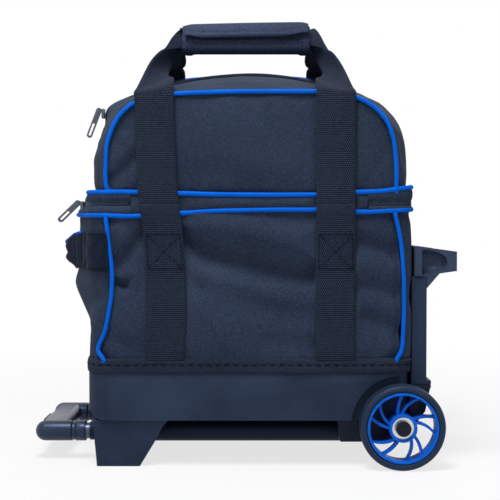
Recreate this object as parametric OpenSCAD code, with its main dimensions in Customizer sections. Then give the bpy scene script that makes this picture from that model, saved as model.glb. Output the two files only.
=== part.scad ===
// Wheeled bowling bag for one ball: a moulded base with a telescopic pull handle stored
// under it, two wheels, a ball compartment and a shoe compartment that is its lid.
// X runs along the bag from the pull grip (-X) to the wheels (+X), Y from front to back.

/* [Base] */
// Left end of the base tray
tray_left = -184.5; // [-188:0.5:-180]
// Right end of the base tray
tray_right = 198; // [196:0.5:199]
// Height of the tray's underside above the floor
tray_z = 55.5; // [55:0.5:58]
// Height of the tray's upper edge above the floor
tray_top = 113; // [110:1:118]
// Depth of the bag from front to back
bag_d = 236; // [226:1:240]
// Wall thickness of the moulded base
base_wall = 4; // [3:0.5:5]
// Corner radius of the bag seen from above
corner_r = 28; // [20:1:36]

/* [Soft body] */
// Thickness of the padded fabric panels
fabric_t = 4; // [3:0.5:5]
// Height of the seam between the ball compartment and the zip band
band_z = 300; // [290:1:306]
// Height of the zip between the ball compartment and the lid
zip_z = 311; // [309:0.5:313]
// Height of the seam between the zip band and the shoe compartment
lid_z = 323; // [320:1:328]
// Height of the shoe compartment's front edge
lid_front_z = 442; // [430:1:450]
// Height of the shoe compartment's rear edge
lid_rear_z = 486; // [480:1:488]
// Width of the carrying straps
strap_w = 46; // [40:1:50]
// Thickness of the carrying straps
strap_t = 3; // [2:0.5:3]

/* [Wheels] */
// Diameter of the wheels
wheel_d = 100; // [96:1:102]
// Width of the wheels
wheel_w = 24; // [20:1:25]
// Position of the axle along the bag
axle_x = 186.5; // [184:0.5:188]
// Diameter of the axle
axle_d = 8; // [7:0.5:9]

/* [Pull handle] */
// Distance between the two handle tubes
tube_gap = 130; // [110:2:140]
// Height of the handle tubes above the floor
tube_z = 34; // [32:0.5:34]
// Outer diameter of the fixed tubes
tube_d = 25; // [24:0.2:26]
// Wall thickness of the handle tubes
tube_wall = 1.2; // [1:0.1:1.3]

/* [Hidden] */
$fn = 64;

eps = 1;
fit = 0.1;
gap = 0.3;
plastic = "#2b3344";
fabric_colour = "#23283a";
webbing_colour = "#20232b";
piping_colour = "#0a5fe0";
steel = "#b9bec8";

// Bag outline
bag_y = bag_d / 2;
bag_left = tray_left + 0.5;
bag_right = tray_right + 2.5;
binding_top = tray_top + 15;
binding_t = 2.5;
bulge_half = bag_y - corner_r;
left_bulge = 16;
panel_left = -161;
panel_right = 186;
tray_corner_r = 20;

// Wheels and axle
wheel_r = wheel_d / 2;
axle_z = wheel_r;
wheel_face_y = 140;
wheel_back_y = wheel_face_y - wheel_w;
arch_r = wheel_r + 7.5;
arch_back_y = wheel_back_y - 4;
hub_d = 32.6;
bearing_d = 26;
bearing_w = 4;
bearing_inset = 4;
rim_r = 41.5;
rim_ring = 3;
nut_d = 17.6;
spacer_d = 10.6;
spoke_pairs = 5;

// Base mouldings
foot_left = -178;
foot_y = 112;
housing_left = 113;
housing_z = 28.5;
housing_y = 108;
spine_y = 105;
spine_t = 18;
ledge_z = 95.5;
ledge_t = 6;
spine_top = 225;
spine_right = bag_right + spine_t;
ledge_right = spine_right + 5.5;
parking_tip = 254;
parking_w = 34;

// Pull handle
tube_y = tube_gap / 2;
tube_left = -179;
tube_right = 176;
mid_d = tube_d - 2 * tube_wall - 2 * fit;
inner_d = mid_d - 2 * tube_wall - 2 * fit;
rod_d = 4;
grip_end = -254;
grip_leg_r = 12.35;
grip_leg_end = -192;
grip_bar_left = -250;
grip_bar_right = -217;
grip_bar_h = 23;
grip_bar_r = 10.5;
collar_end = -187;
collar_w = 5.7;
mid_right = 165;
inner_right = 155;
button_travel = 4;

// Straps: left edges of the left and right strap
strap_x = [-116, 86];
strap_y = bag_y + strap_t;
lid_y = 116;
lid_left = -163;
lid_right = 181;
lid_bulge = 16;
lid_mid_z = lid_rear_z - 8;
lid_crown = 20;
band_flange = 24;
lid_corner_r = 45;
leg_y = bag_y + 1 + gap;
leg_top_front = lid_front_z + 4;
leg_top_rear = lid_rear_z + 10;
wrap_left = -79;
wrap_right = 83;
wrap_y = 20;
wrap_z = 504.5;
wrap_h = 38.5;
flap_t = 2.7;
front_strand_z = 530;
rear_strand_z = 513;

// Shapes drawn in the X-Z plane, extruded from y0 to y1
module along_y(y0, y1) {
    translate([0, y1, 0]) rotate([90, 0, 0]) linear_extrude(y1 - y0) children();
}

// Shapes drawn in the Y-Z plane, extruded from x0 to x1
module along_x(x0, x1) {
    translate([x0, 0, 0]) rotate([90, 0, 90]) linear_extrude(x1 - x0) children();
}

module cyl_x(x0, x1, y, z, d) {
    translate([x0, y, z]) rotate([0, 90, 0]) cylinder(d = d, h = x1 - x0);
}

module cyl_y(y0, y1, x, z, d) {
    translate([x, y1, z]) rotate([90, 0, 0]) cylinder(d = d, h = y1 - y0);
}

module box(x, y, z) {
    translate([x[0], y[0], z[0]]) cube([x[1] - x[0], y[1] - y[0], z[1] - z[0]]);
}

module round_rect(x0, x1, y0, y1, r) {
    translate([x0 + r, y0]) square([x1 - x0 - 2 * r, y1 - y0]);
    translate([x0, y0 + r]) square([x1 - x0, y1 - y0 - 2 * r]);
    for (x = [x0 + r, x1 - r], y = [y0 + r, y1 - r])
        translate([x, y]) circle(r);
}

// Radius of an arc that rises by rise over half a chord
function arc_r(half, rise) = (half * half + rise * rise) / (2 * rise);

// Bag outline seen from above, grown outward by grow, with its left side bulging by bulge
module bag_outline(grow = 0, bulge = 0) {
    round_rect(bag_left - grow, bag_right + grow, -bag_y - grow, bag_y + grow, corner_r + grow);
    if (bulge > 0) intersection() {
        translate([bag_left - bulge + arc_r(bulge_half, bulge), 0])
            circle(arc_r(bulge_half, bulge) + grow, $fn = 180);
        translate([bag_left - bulge - grow, -bulge_half])
            square([bulge + corner_r, 2 * bulge_half]);
    }
}

module bag_ring(z0, z1, outer, inner, bulge = 0) {
    translate([0, 0, z0]) linear_extrude(z1 - z0)
        difference() {
            bag_outline(outer, bulge);
            bag_outline(inner, bulge);
        }
}

// ---- Moulded base ----

module arch_cut(r, y) {
    for (s = [-1, 1])
        cyl_y(s > 0 ? y : -150, s > 0 ? 150 : -y, axle_x, axle_z, 2 * r);
}

module tray_side() {
    translate([tray_left + tray_corner_r, tray_z])
        square([tray_right - tray_left - tray_corner_r, tray_top - tray_z]);
    translate([tray_left, tray_z + tray_corner_r])
        square([tray_corner_r, tray_top - tray_z - tray_corner_r]);
    translate([tray_left + tray_corner_r, tray_z + tray_corner_r]) circle(tray_corner_r);
}

module tray_block(grow, z0) {
    translate([0, 0, z0]) linear_extrude(tray_top - z0)
        round_rect(tray_left - grow, tray_right + grow, -bag_y - grow, bag_y + grow,
                   corner_r + grow);
}

module base_tray() {
    color(plastic) difference() {
        intersection() {
            union() {
                difference() {
                    tray_block(0, tray_z);
                    translate([0, 0, eps]) tray_block(-base_wall, tray_z + base_wall - eps);
                }
                intersection() {
                    tray_block(0, tray_z);
                    arch_cut(arch_r + base_wall, arch_back_y - base_wall);
                }
            }
            along_y(-bag_y, bag_y) tray_side();
        }
        arch_cut(arch_r, arch_back_y);
        screw_holes();
    }
}

foot_profile = [[foot_left + 5, 0], [-122, 0], [-102, 33], [-96, 46], [-88, tray_z], [foot_left, tray_z]];
foot_cavity = [[foot_left + 10, 4], [-126, 4], [-107, 35], [-99, tray_z + eps], [foot_left + 4, tray_z + eps]];
foot_screw_x = -140;
screw_y = [-90, -30, 30, 90];

module stand_foot() {
    color(plastic) difference() {
        union() {
            difference() {
                along_y(-foot_y, foot_y) polygon(foot_profile);
                along_y(4 - foot_y, foot_y - 4) polygon(foot_cavity);
            }
            intersection() {
                along_y(-foot_y, foot_y) polygon(foot_profile);
                union() {
                    for (s = [-1, 1]) cyl_x(foot_left, -88, s * tube_y, tube_z, tube_d + 8);
                    for (y = screw_y) translate([foot_screw_x, y, 0]) cylinder(d = 15, h = tray_z);
                }
            }
        }
        for (s = [-1, 1]) cyl_x(tube_left, -80, s * tube_y, tube_z, tube_d + 2 * fit);
        screw_holes();
    }
}

housing_profile = [
    [housing_left, tray_z], [housing_left + 2, housing_z + 1], [housing_left + 4, housing_z],
    [190, housing_z], [217, 65], [222, 90], [ledge_right, ledge_z], [tray_right, ledge_z],
    [tray_right, tray_z]];
housing_screw_x = 132;

module axle_housing() {
    color(plastic) difference() {
        along_y(-housing_y, housing_y) polygon(housing_profile);
        for (s = [-1, 1]) cyl_x(housing_left - eps, tube_right, s * tube_y, tube_z, tube_d + 2 * fit);
        cyl_y(-150, 150, axle_x, axle_z, axle_d + 2 * fit);
        for (y = [-18, 18]) box([146, 174], [y - 14, y + 14], [housing_z - eps, tray_z - 4]);
        screw_holes();
        spine_screw_holes();
    }
}

// Screws that hold the foot and the axle housing to the tray floor
module screw_holes() {
    for (x = [foot_screw_x, housing_screw_x], y = screw_y) {
        translate([x, y, -eps]) cylinder(d = 4 + 2 * fit, h = tray_z + base_wall + 2 * eps);
        translate([x, y, -eps]) cylinder(d = 9, h = tray_z - 12 + eps);
    }
}

module base_screws() {
    color(steel) for (x = [foot_screw_x, housing_screw_x], y = screw_y)
        translate([x, y, tray_z - 12]) {
            translate([0, 0, -3]) cylinder(d = 8, h = 3);
            cylinder(d = 4, h = 12 + base_wall);
        }
}

spine_screw_x = bag_right + 9;
spine_screw_y = [-80, -25, 25, 80];

module spine_screw_holes() {
    for (y = spine_screw_y) translate([spine_screw_x, y, ledge_z - 20])
        cylinder(d = 4 + 2 * fit, h = 20 + ledge_t + eps);
}

module spine_screws() {
    color(steel) for (y = spine_screw_y) translate([spine_screw_x, y, ledge_z - 20]) {
        cylinder(d = 4, h = 20 + ledge_t);
        translate([0, 0, 20 + ledge_t]) cylinder(d = 8, h = 3);
    }
}

spine_profile = [
    [bag_right, ledge_z], [ledge_right, ledge_z], [ledge_right, ledge_z + ledge_t],
    [spine_right, ledge_z + ledge_t], [spine_right, spine_top], [bag_right, spine_top]];

// Hollow panel, with openings toward +X that leave ribs and the screw pockets
module spine_panel() {
    color(plastic) difference() {
        along_y(-spine_y, spine_y) polygon(spine_profile);
        for (y = [-78, -26, 26, 78])
            box([bag_right + 4, spine_right + eps], [y - 22, y + 22], [ledge_z + ledge_t, 200]);
        spine_screw_holes();
    }
}

parking_profile = [
    [spine_right, 211], [233.5, 228.5], [parking_tip, 231.5], [parking_tip, 254.5], [207, 261],
    [203, 261], [203, spine_top], [spine_right, spine_top]];
scoop_x = 212;
scoop_z = 242;
scoop_profile = [[0, 0], [15, 0], [14, 11], [11.9, 19], [8.9, 25], [5.5, 28.8], [0, 31]];
collar_ridge_x = [205.4, 208.1, 210.8];
collar_ridge_r = 2.4;

// Foot that the upended bag stands on together with its wheels: scooped to a point from its outer
// side, with a ridged collar where it leaves the bag
module parking_foot(y0, scoop_y) {
    color(plastic) {
        difference() {
            along_y(y0, y0 + parking_w) polygon(parking_profile);
            translate([scoop_x, scoop_y, scoop_z]) rotate([0, 90, 0])
                rotate_extrude() polygon(scoop_profile);
        }
        for (x = collar_ridge_x) translate([x, scoop_y, spine_top + eps])
            cylinder(r = collar_ridge_r, h = 33);
    }
}

module parking_foot_front() {
    parking_foot(-spine_y, -spine_y);
}

module parking_foot_rear() {
    parking_foot(spine_y - parking_w, spine_y);
}

// ---- Axle and wheels ----

module axle_rod() {
    color(steel) cyl_y(-wheel_face_y - 4, wheel_face_y + 4, axle_x, axle_z, axle_d);
}

module axle_ring(y0, y1, d) {
    difference() {
        cyl_y(y0, y1, axle_x, axle_z, d);
        cyl_y(y0 - eps, y1 + eps, axle_x, axle_z, axle_d + fit);
    }
}

module axle_spacers() {
    color(steel) {
        axle_ring(-wheel_back_y - bearing_inset + gap, -housing_y, spacer_d);
        axle_ring(housing_y, wheel_back_y + bearing_inset - gap, spacer_d);
    }
}

module axle_nuts() {
    color("#3a4352") {
        axle_ring(-wheel_face_y - 3, -wheel_face_y + bearing_inset - gap, nut_d);
        axle_ring(wheel_face_y - bearing_inset + gap, wheel_face_y + 3, nut_d);
    }
}

// The wheel modules are drawn about their own axis; wheel_at places one on the axle
module wheel_at(s) {
    translate([axle_x, s * (wheel_face_y + wheel_back_y) / 2, axle_z])
        rotate([s < 0 ? 90 : -90, 0, 0]) children();
}

shoulder = 5;

module tyre() {
    color("#333b4b") rotate_extrude() difference() {
        union() {
            translate([rim_r, -wheel_w / 2]) square([wheel_r - rim_r - shoulder, wheel_w]);
            translate([rim_r, shoulder - wheel_w / 2])
                square([wheel_r - rim_r, wheel_w - 2 * shoulder]);
            for (s = [-1, 1]) translate([wheel_r - shoulder, s * (wheel_w / 2 - shoulder)])
                circle(shoulder);
        }
        translate([0, -wheel_w]) square([rim_r, 2 * wheel_w]);
    }
}

// Centre line of a spoke at radius r: it sweeps clockwise on its way out
spoke_in = hub_d / 2 - 1;
spoke_out = rim_r - rim_ring + 1;
spoke_steps = 6;
spoke_w = 3.8;
spoke_t = 8;

function spoke_angle(r, root, sweep) = root - sweep * (r - spoke_in) / (spoke_out - spoke_in);

// Point beside a spoke's centre line at radius r, side times half the spoke's width away
function spoke_point(r, root, sweep, side) =
    let (a = spoke_angle(r, root, sweep) + side * asin(spoke_w / 2 / r)) r * [cos(a), sin(a)];

module spoke(root, sweep) {
    radii = [for (i = [0 : spoke_steps]) spoke_in + i * (spoke_out - spoke_in) / spoke_steps];
    polygon([
        for (r = radii) spoke_point(r, root, sweep, 1),
        for (i = [spoke_steps : -1 : 0]) spoke_point(radii[i], root, sweep, -1)]);
}

module rim() {
    color(piping_colour) {
        difference() {
            union() {
                difference() {
                    cylinder(r = rim_r, h = wheel_w, center = true);
                    cylinder(r = rim_r - rim_ring, h = wheel_w + eps, center = true);
                }
                cylinder(d = hub_d, h = wheel_w, center = true);
                translate([0, 0, -spoke_t / 2]) linear_extrude(spoke_t)
                    for (i = [0 : spoke_pairs - 1]) {
                        spoke(109.5 + 360 / spoke_pairs * i, 20);
                        spoke(93.5 + 360 / spoke_pairs * i, 34);
                    }
            }
            for (s = [-1, 1]) translate([0, 0, s * wheel_w / 2])
                cylinder(d = bearing_d, h = 2 * (bearing_inset + bearing_w), center = true);
            cylinder(d = axle_d + 4, h = wheel_w + eps, center = true);
        }
    }
}

module bearings() {
    color(steel) for (s = [-1, 1])
        translate([0, 0, s * (wheel_w / 2 - bearing_inset - bearing_w / 2)]) difference() {
            cylinder(d = bearing_d, h = bearing_w, center = true);
            cylinder(d = axle_d + 2 * fit, h = bearing_w + eps, center = true);
        }
}

module tyre_front() {
    wheel_at(-1) tyre();
}

module rim_front() {
    wheel_at(-1) rim();
}

module bearing_front() {
    wheel_at(-1) bearings();
}

module tyre_rear() {
    wheel_at(1) tyre();
}

module rim_rear() {
    wheel_at(1) rim();
}

module bearing_rear() {
    wheel_at(1) bearings();
}

// ---- Telescopic pull handle ----

module tube(x0, x1, y, d) {
    difference() {
        cyl_x(x0, x1, y, tube_z, d);
        cyl_x(x0 - eps, x1 + eps, y, tube_z, d - 2 * tube_wall);
    }
}

module outer_tube(y) {
    color("#2a303c") tube(tube_left, tube_right, y, tube_d);
}

module outer_tube_front() {
    outer_tube(-tube_y);
}

module outer_tube_rear() {
    outer_tube(tube_y);
}

module tube_collar(x0, x1, y, d, bore) {
    difference() {
        cyl_x(x0, x1, y, tube_z, d);
        cyl_x(x0 - eps, x1 + eps, y, tube_z, bore);
    }
}

module outer_collars() {
    color(plastic) for (y = [-tube_y, tube_y])
        tube_collar(tube_left - 2, tube_left, y, tube_d + 3, mid_d + 2 * fit);
}

module mid_tubes() {
    color("#7d8490") for (y = [-tube_y, tube_y]) tube(collar_end + collar_w, mid_right, y, mid_d);
}

module mid_collars() {
    color(plastic) for (y = [-tube_y, tube_y])
        tube_collar(collar_end, collar_end + collar_w, y, mid_d + 0.4, inner_d + 2 * fit);
}

module inner_tubes() {
    color("#9aa1ad") for (y = [-tube_y, tube_y]) tube(grip_leg_end - 12, inner_right, y, inner_d);
}

module inner_end_plugs() {
    color(plastic) for (y = [-tube_y, tube_y])
        tube_collar(inner_right - 15, inner_right, y, inner_d - 2 * tube_wall, rod_d + 2 * fit);
}

button_w = 40;
button_h = 12;
yoke_x = -241;

// Round leg with a domed outer end
module grip_leg(y) {
    translate([grip_end, y, tube_z]) rotate([0, 90, 0]) rotate_extrude() {
        intersection() {
            translate([0, grip_leg_r]) circle(grip_leg_r);
            square(grip_leg_r);
        }
        translate([0, grip_leg_r]) square([grip_leg_r, grip_leg_end - grip_end - grip_leg_r]);
    }
}

module grip_body() {
    for (s = [-1, 1]) grip_leg(s * tube_y);
    along_y(-tube_y, tube_y) round_rect(grip_bar_left, grip_bar_right,
        tube_z - grip_bar_h / 2, tube_z + grip_bar_h / 2, grip_bar_r);
}

module pull_grip() {
    color(plastic) difference() {
        grip_body();
        for (s = [-1, 1]) {
            cyl_x(grip_leg_end - 12, grip_leg_end + eps, s * tube_y, tube_z, inner_d);
            cyl_x(yoke_x - 5, grip_leg_end, s * tube_y, tube_z, rod_d + 4);
            difference() {
                cyl_x(-209, -204, s * tube_y, tube_z, 2 * grip_leg_r + 2);
                cyl_x(-210, -203, s * tube_y, tube_z, 2 * grip_leg_r - 2);
            }
        }
        box([yoke_x - 5, yoke_x + button_travel + 6], [-tube_y, tube_y],
            [tube_z - 4, tube_z + 4]);
        box([grip_bar_left - eps, yoke_x], [-button_w / 2 - gap, button_w / 2 + gap],
            [tube_z - button_h / 2 - gap, tube_z + button_h / 2 + gap]);
    }
}

module release_button() {
    color("#3c4658") {
        box([grip_bar_left - 3, yoke_x - 4.5], [-button_w / 2, button_w / 2],
            [tube_z - button_h / 2, tube_z + button_h / 2]);
        box([yoke_x - 4.5, yoke_x], [-tube_y, tube_y], [tube_z - 3, tube_z + 3]);
    }
}

module lock_rods() {
    color(steel) for (y = [-tube_y, tube_y])
        cyl_x(yoke_x, inner_right - 2, y, tube_z, rod_d);
}

// ---- Ball compartment ----

module binding_strip() {
    color(webbing_colour) intersection() {
        bag_ring(tray_top, binding_top, binding_t, 0);
        box([-300, bag_right], [-200, 200], [0, 400]);
    }
}

module body_shell() {
    bag_ring(tray_top, band_z, 0, -fabric_t);
}

module front_panel() {
    color(fabric_colour) intersection() {
        body_shell();
        box([panel_left, panel_right], [-200, 0], [0, 400]);
    }
}

module back_panel() {
    color(fabric_colour) intersection() {
        body_shell();
        box([panel_left, panel_right], [0, 200], [0, 400]);
    }
}

// The left side is slack: straight at the base and bulging above it
module left_block(grow) {
    levels = [[binding_top, 0], [150, left_bulge - 6], [200, left_bulge], [band_z - 1, left_bulge]];
    hull() for (level = levels)
        translate([0, 0, level[0]]) linear_extrude(1) bag_outline(grow, level[1], $fn = 32);
    translate([0, 0, tray_top]) linear_extrude(binding_top - tray_top + eps) bag_outline(grow, $fn = 32);
}

module left_gusset() {
    color(fabric_colour) intersection() {
        difference() {
            left_block(0);
            left_block(-fabric_t);
            box([-300, 300], [-300, 300], [0, tray_top]);
            bag_ring(band_z - 2, band_z + eps, 6, 0, left_bulge);
        }
        box([-300, panel_left], [-200, 200], [tray_top, band_z]);
    }
}

module right_gusset() {
    color(fabric_colour) intersection() {
        body_shell();
        box([panel_right, 300], [-200, 200], [0, 400]);
    }
}

piping_d = 5;
right_seam_y = bag_y - corner_r + sqrt(pow(corner_r, 2) - pow(panel_right - bag_right + corner_r, 2));

module body_piping() {
    color(piping_colour) difference() {
        for (s = [-1, 1]) {
            translate([panel_left, s * bag_y, binding_top])
                cylinder(d = piping_d, h = band_z - 2 - binding_top);
            translate([panel_right, s * right_seam_y, binding_top])
                cylinder(d = piping_d, h = band_z - 2 - binding_top);
        }
        translate([0, 0, tray_top]) linear_extrude(band_z) bag_outline();
    }
}

module zip_band_lower() {
    color(fabric_colour) bag_ring(band_z, zip_z, 0, -fabric_t - 1, left_bulge);
}

module band_piping_lower() {
    color(piping_colour) bag_ring(band_z - 2, band_z + 2, 2, 0, left_bulge);
}

board_z = tray_z + base_wall;
board_t = 3;

module base_board() {
    color("#15171c") translate([0, 0, board_z]) linear_extrude(board_t)
        round_rect(tray_left + 8, 122, -bag_y + 8, bag_y - 8, 20);
}

ball_r = 108;
cup_x = 0;

// Foam ring that the ball sits in
module ball_cup() {
    color("#1c1e22") translate([cup_x, 0, board_z + board_t]) rotate_extrude() difference() {
        translate([30, 0]) square([60, 32]);
        translate([0, ball_r + 4]) circle(ball_r);
    }
}

module straps_sewn(s) {
    for (x = strap_x)
        box([x, x + strap_w], s < 0 ? [-strap_y, -bag_y] : [bag_y, strap_y],
            [binding_top, band_z - 2]);
    for (x = strap_x)
        box([x, x + strap_w],
            s < 0 ? [-strap_y - 1, -bag_y - 2] : [bag_y + 2, strap_y + 1],
            [band_z - 2, zip_z]);
}

module sewn_straps_front() {
    color(webbing_colour) straps_sewn(-1);
}

module sewn_straps_rear() {
    color(webbing_colour) straps_sewn(1);
}

// ---- Grab handle on the left side ----

side_z = [234, 277];
side_bulge = 39;
side_half = 96;
side_r = arc_r(side_half, side_bulge);

module side_handle_band() {
    color(webbing_colour) translate([0, 0, side_z[0]]) linear_extrude(side_z[1] - side_z[0])
        intersection() {
            translate([bag_left - side_bulge + side_r, 0]) difference() {
                circle(side_r, $fn = 180);
                circle(side_r - 5, $fn = 180);
            }
            translate([bag_left - 2 * side_bulge, -side_half]) square([2 * side_bulge - 3, 2 * side_half]);
        }
}

// Flat tabs sewn round the front and rear corners, which carry the band
module side_handle_tabs() {
    color(webbing_colour) for (s = [-1, 1]) difference() {
        intersection() {
            bag_ring(side_z[0], side_z[1], 3, 0);
            box([-250, panel_left - piping_d / 2 - gap], s < 0 ? [-150, -84] : [84, 150], [0, 400]);
        }
        left_block(0);
    }
}

// ---- Zip pulls ----

pull_t = 2.4;
pull_w = 7;
pull_slot_w = 3;
slider_t = 4;
mid_slider_z = zip_z - 2;
mid_slider_y = [-52, -34];

// Where the bulging left side of the zip band lies at y
function left_side_x(y) =
    bag_left - left_bulge + arc_r(bulge_half, left_bulge)
    - sqrt(pow(arc_r(bulge_half, left_bulge), 2) - y * y);
function mid_slider_x(y) = left_side_x(abs(y) - 5) - gap;
function pull_axis_x(slider_x) = slider_x - slider_t - gap - pull_w / 2;

module slider(x, y, z) {
    box([x - slider_t, x], [y - 5, y + 5], [z - 6, z + 6]);
}

// Flat pull turning on its round eye, with a slot at its free end, leaning out by lean degrees
module pull_tab(x, y, z, lean, len) {
    translate([x, y, z]) rotate([0, lean, 0]) difference() {
        along_y(-pull_t / 2, pull_t / 2)
            round_rect(-pull_w / 2, pull_w / 2, pull_w / 2 - len, pull_w / 2, pull_w / 2 - 0.2);
        box([-pull_slot_w / 2, pull_slot_w / 2], [-pull_t, pull_t],
            [pull_w / 2 + 3 - len, pull_w / 2 + 3 - len * 0.6]);
    }
}

module mid_slider_front() {
    color("#4a5160") slider(mid_slider_x(mid_slider_y[0]), mid_slider_y[0], mid_slider_z);
}

module mid_slider_rear() {
    color("#4a5160") slider(mid_slider_x(mid_slider_y[1]), mid_slider_y[1], mid_slider_z);
}

module mid_pull(y) {
    pull_tab(pull_axis_x(mid_slider_x(y)), y, mid_slider_z + 4, 46, 36);
}

module mid_pull_front() {
    color("#4a5160") mid_pull(mid_slider_y[0]);
}

module mid_pull_rear() {
    color("#4a5160") mid_pull(mid_slider_y[1]);
}

// ---- Lid: the shoe compartment ----

module arch_profile(grow, x0, x1, z1, r) {
    round_rect(x0 - grow, x1 + grow, lid_z - 100, z1 + grow, r + grow);
}

// One slice of the shoe compartment at y, with its crown rising above the shoulders
module lid_slice(y, z1, bulge, crown, grow) {
    along_y(y - 0.5, y + 0.5) {
        arch_profile(grow + bulge, lid_left, lid_right, z1 - crown - bulge, lid_corner_r, $fn = 32);
        translate([lid_left + 75, lid_z - 100])
            square([lid_right - lid_left - 150, z1 - crown * 0.35 + grow - lid_z + 100]);
        translate([lid_left + 130, lid_z - 100])
            square([lid_right - lid_left - 260, z1 + grow - lid_z + 100]);
    }
}

// The compartment bulges at mid depth, and its rear edge stands higher than its front edge
module lid_block(grow, z0) {
    intersection() {
        hull() {
            lid_slice(0.5 - lid_y - grow, lid_front_z, 0, 2, grow);
            lid_slice(0, lid_mid_z, lid_bulge, lid_crown, grow);
            lid_slice(lid_y + grow - 0.5, lid_rear_z, 0, 4, grow);
        }
        box([-300, 300], [-200, 200], [z0, 600]);
    }
}

module lid_shell() {
    difference() {
        lid_block(0, lid_z);
        lid_block(-fabric_t, lid_z - 10);
    }
}

module zip_band_upper() {
    color(fabric_colour) bag_ring(zip_z + gap, lid_z, -1, -band_flange, left_bulge);
}

module band_piping_upper() {
    color(piping_colour) bag_ring(lid_z - 4, lid_z, 1, -1, left_bulge);
}

module lid_floor() {
    color("#1a1d24") translate([0, 0, zip_z + gap + 2]) linear_extrude(4)
        bag_outline(-band_flange, left_bulge);
}

panel_y = lid_y - fabric_t;

module lid_front_panel() {
    color(fabric_colour) intersection() {
        lid_block(0, lid_z);
        box([-300, 300], [-lid_y, -panel_y], [lid_z, 600]);
    }
}

module lid_back_panel() {
    color(fabric_colour) intersection() {
        lid_block(0, lid_z);
        box([-300, 300], [panel_y, lid_y], [lid_z, 600]);
    }
}

module lid_gusset() {
    color(fabric_colour) intersection() {
        lid_shell();
        box([-300, 300], [-panel_y, panel_y], [lid_z, 600]);
    }
}

module lid_piping() {
    color(piping_colour) {
        along_y(-lid_y - 2, -lid_y) piping_arch(lid_front_z - 2);
        along_y(lid_y, lid_y + 2) piping_arch(lid_rear_z - 4);
    }
}

module piping_arch(z1) {
    intersection() {
        difference() {
            arch_profile(0, lid_left, lid_right, z1, lid_corner_r);
            arch_profile(-piping_d, lid_left, lid_right, z1, lid_corner_r);
        }
        translate([-300, lid_z]) square([600, 300]);
    }
}

module top_zip() {
    color(webbing_colour) intersection() {
        difference() {
            lid_block(top_zip_t, lid_z + 60);
            lid_block(0, lid_z);
        }
        box([-300, 300], [-14, 2], [lid_z + 62, 600]);
    }
}

top_zip_t = 1.5;
top_slider_z = lid_z + 104;
top_corner_r = lid_corner_r + lid_bulge;
top_corner_z = lid_mid_z - lid_crown - top_corner_r;
top_slider_x = lid_left - lid_bulge + top_corner_r - top_zip_t - gap
    - sqrt(pow(top_corner_r, 2) - pow(top_slider_z - 6 - top_corner_z, 2));

module top_slider() {
    color("#4a5160") slider(top_slider_x, -6, top_slider_z);
}

module top_pull() {
    color("#4a5160") pull_tab(pull_axis_x(top_slider_x), -6, top_slider_z + 4, 21, 40);
}

// ---- Carrying loops and their wrap ----

// One free strap: up the panel, then over the edge to the strand inside the wrap
module loop_leg(x, s, z1, strand) {
    y = s < 0 ? [-leg_y - strap_t, -leg_y] : [leg_y, leg_y + strap_t];
    end_x = x < 0 ? [wrap_left - 5, wrap_left - 1] : [wrap_right + 1, wrap_right + 5];
    box([x, x + strap_w], y, [zip_z + gap, z1]);
    difference() {
        hull() {
            box([x, x + strap_w], y, [z1 - strap_t, z1]);
            box(end_x, strand[0], strand[1]);
        }
        box([wrap_left - gap, wrap_right + gap], [-wrap_y - gap, wrap_y + gap],
            [wrap_z - gap, wrap_z + wrap_h + gap]);
    }
}

front_strand = [[-14, 14], [front_strand_z, front_strand_z + strap_t]];
rear_strand = [[-6, 22], [rear_strand_z, rear_strand_z + strap_t]];

module loop_webbing(s, z1, strand) {
    for (x = strap_x) loop_leg(x, s, z1, strand);
    box([wrap_left - 3, wrap_right + 3], strand[0], strand[1]);
}

module front_loop_webbing() {
    color(webbing_colour) loop_webbing(-1, leg_top_front, front_strand);
}

module rear_loop_webbing() {
    color(webbing_colour) loop_webbing(1, leg_top_rear, rear_strand);
}

// The wrap is padded foam, open toward the rear where the rear loop's strand leaves it
module handle_wrap() {
    color(webbing_colour) difference() {
        along_x(wrap_left, wrap_right) round_rect(-wrap_y, wrap_y, wrap_z, wrap_z + wrap_h, 6);
        box([-200, 200], front_strand[0], front_strand[1]);
        along_x(-200, 200) polygon([
            [rear_strand[0][0] - 1, rear_strand_z - 1],
            [rear_strand[0][0] - 1, rear_strand_z + strap_t + 1],
            [wrap_y + 1, rear_strand_z + strap_t + 9], [wrap_y + 1, wrap_z - 20]]);
    }
}

flap_top = wrap_z + wrap_h + gap + flap_t;
flap_front = -wrap_y - gap - flap_t;

module wrap_flap() {
    color(webbing_colour) along_x(wrap_left + 12, wrap_right - 12) {
        translate([flap_front, flap_top - flap_t]) square([wrap_y - 2 - flap_front, flap_t]);
        translate([flap_front, flap_top - 20]) square([flap_t, 20]);
    }
}

base_tray();
stand_foot();
axle_housing();
spine_panel();
parking_foot_front();
parking_foot_rear();
base_screws();
spine_screws();
axle_rod();
axle_spacers();
axle_nuts();
outer_tube_front();
outer_tube_rear();
outer_collars();
mid_tubes();
mid_collars();
inner_tubes();
inner_end_plugs();
pull_grip();
release_button();
lock_rods();
tyre_front();
rim_front();
bearing_front();
tyre_rear();
rim_rear();
bearing_rear();
binding_strip();
front_panel();
back_panel();
left_gusset();
right_gusset();
body_piping();
zip_band_lower();
band_piping_lower();
base_board();
ball_cup();
sewn_straps_front();
sewn_straps_rear();
side_handle_tabs();
side_handle_band();
mid_slider_front();
mid_slider_rear();
mid_pull_front();
mid_pull_rear();
zip_band_upper();
band_piping_upper();
lid_floor();
lid_front_panel();
lid_back_panel();
lid_gusset();
lid_piping();
top_zip();
top_slider();
top_pull();
front_loop_webbing();
handle_wrap();
wrap_flap();
rear_loop_webbing();
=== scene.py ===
# A wheeled bag for one bowling ball and a pair of shoes. A moulded base stands on a foot and two
# wheels, a two-stage pull handle is stowed under it, a soft ball compartment is sewn to its rim,
# and a shoe compartment opens as the lid. Sizes are in millimetres and become metres where used.
import math
from math import cos, pi, radians, sin

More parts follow.
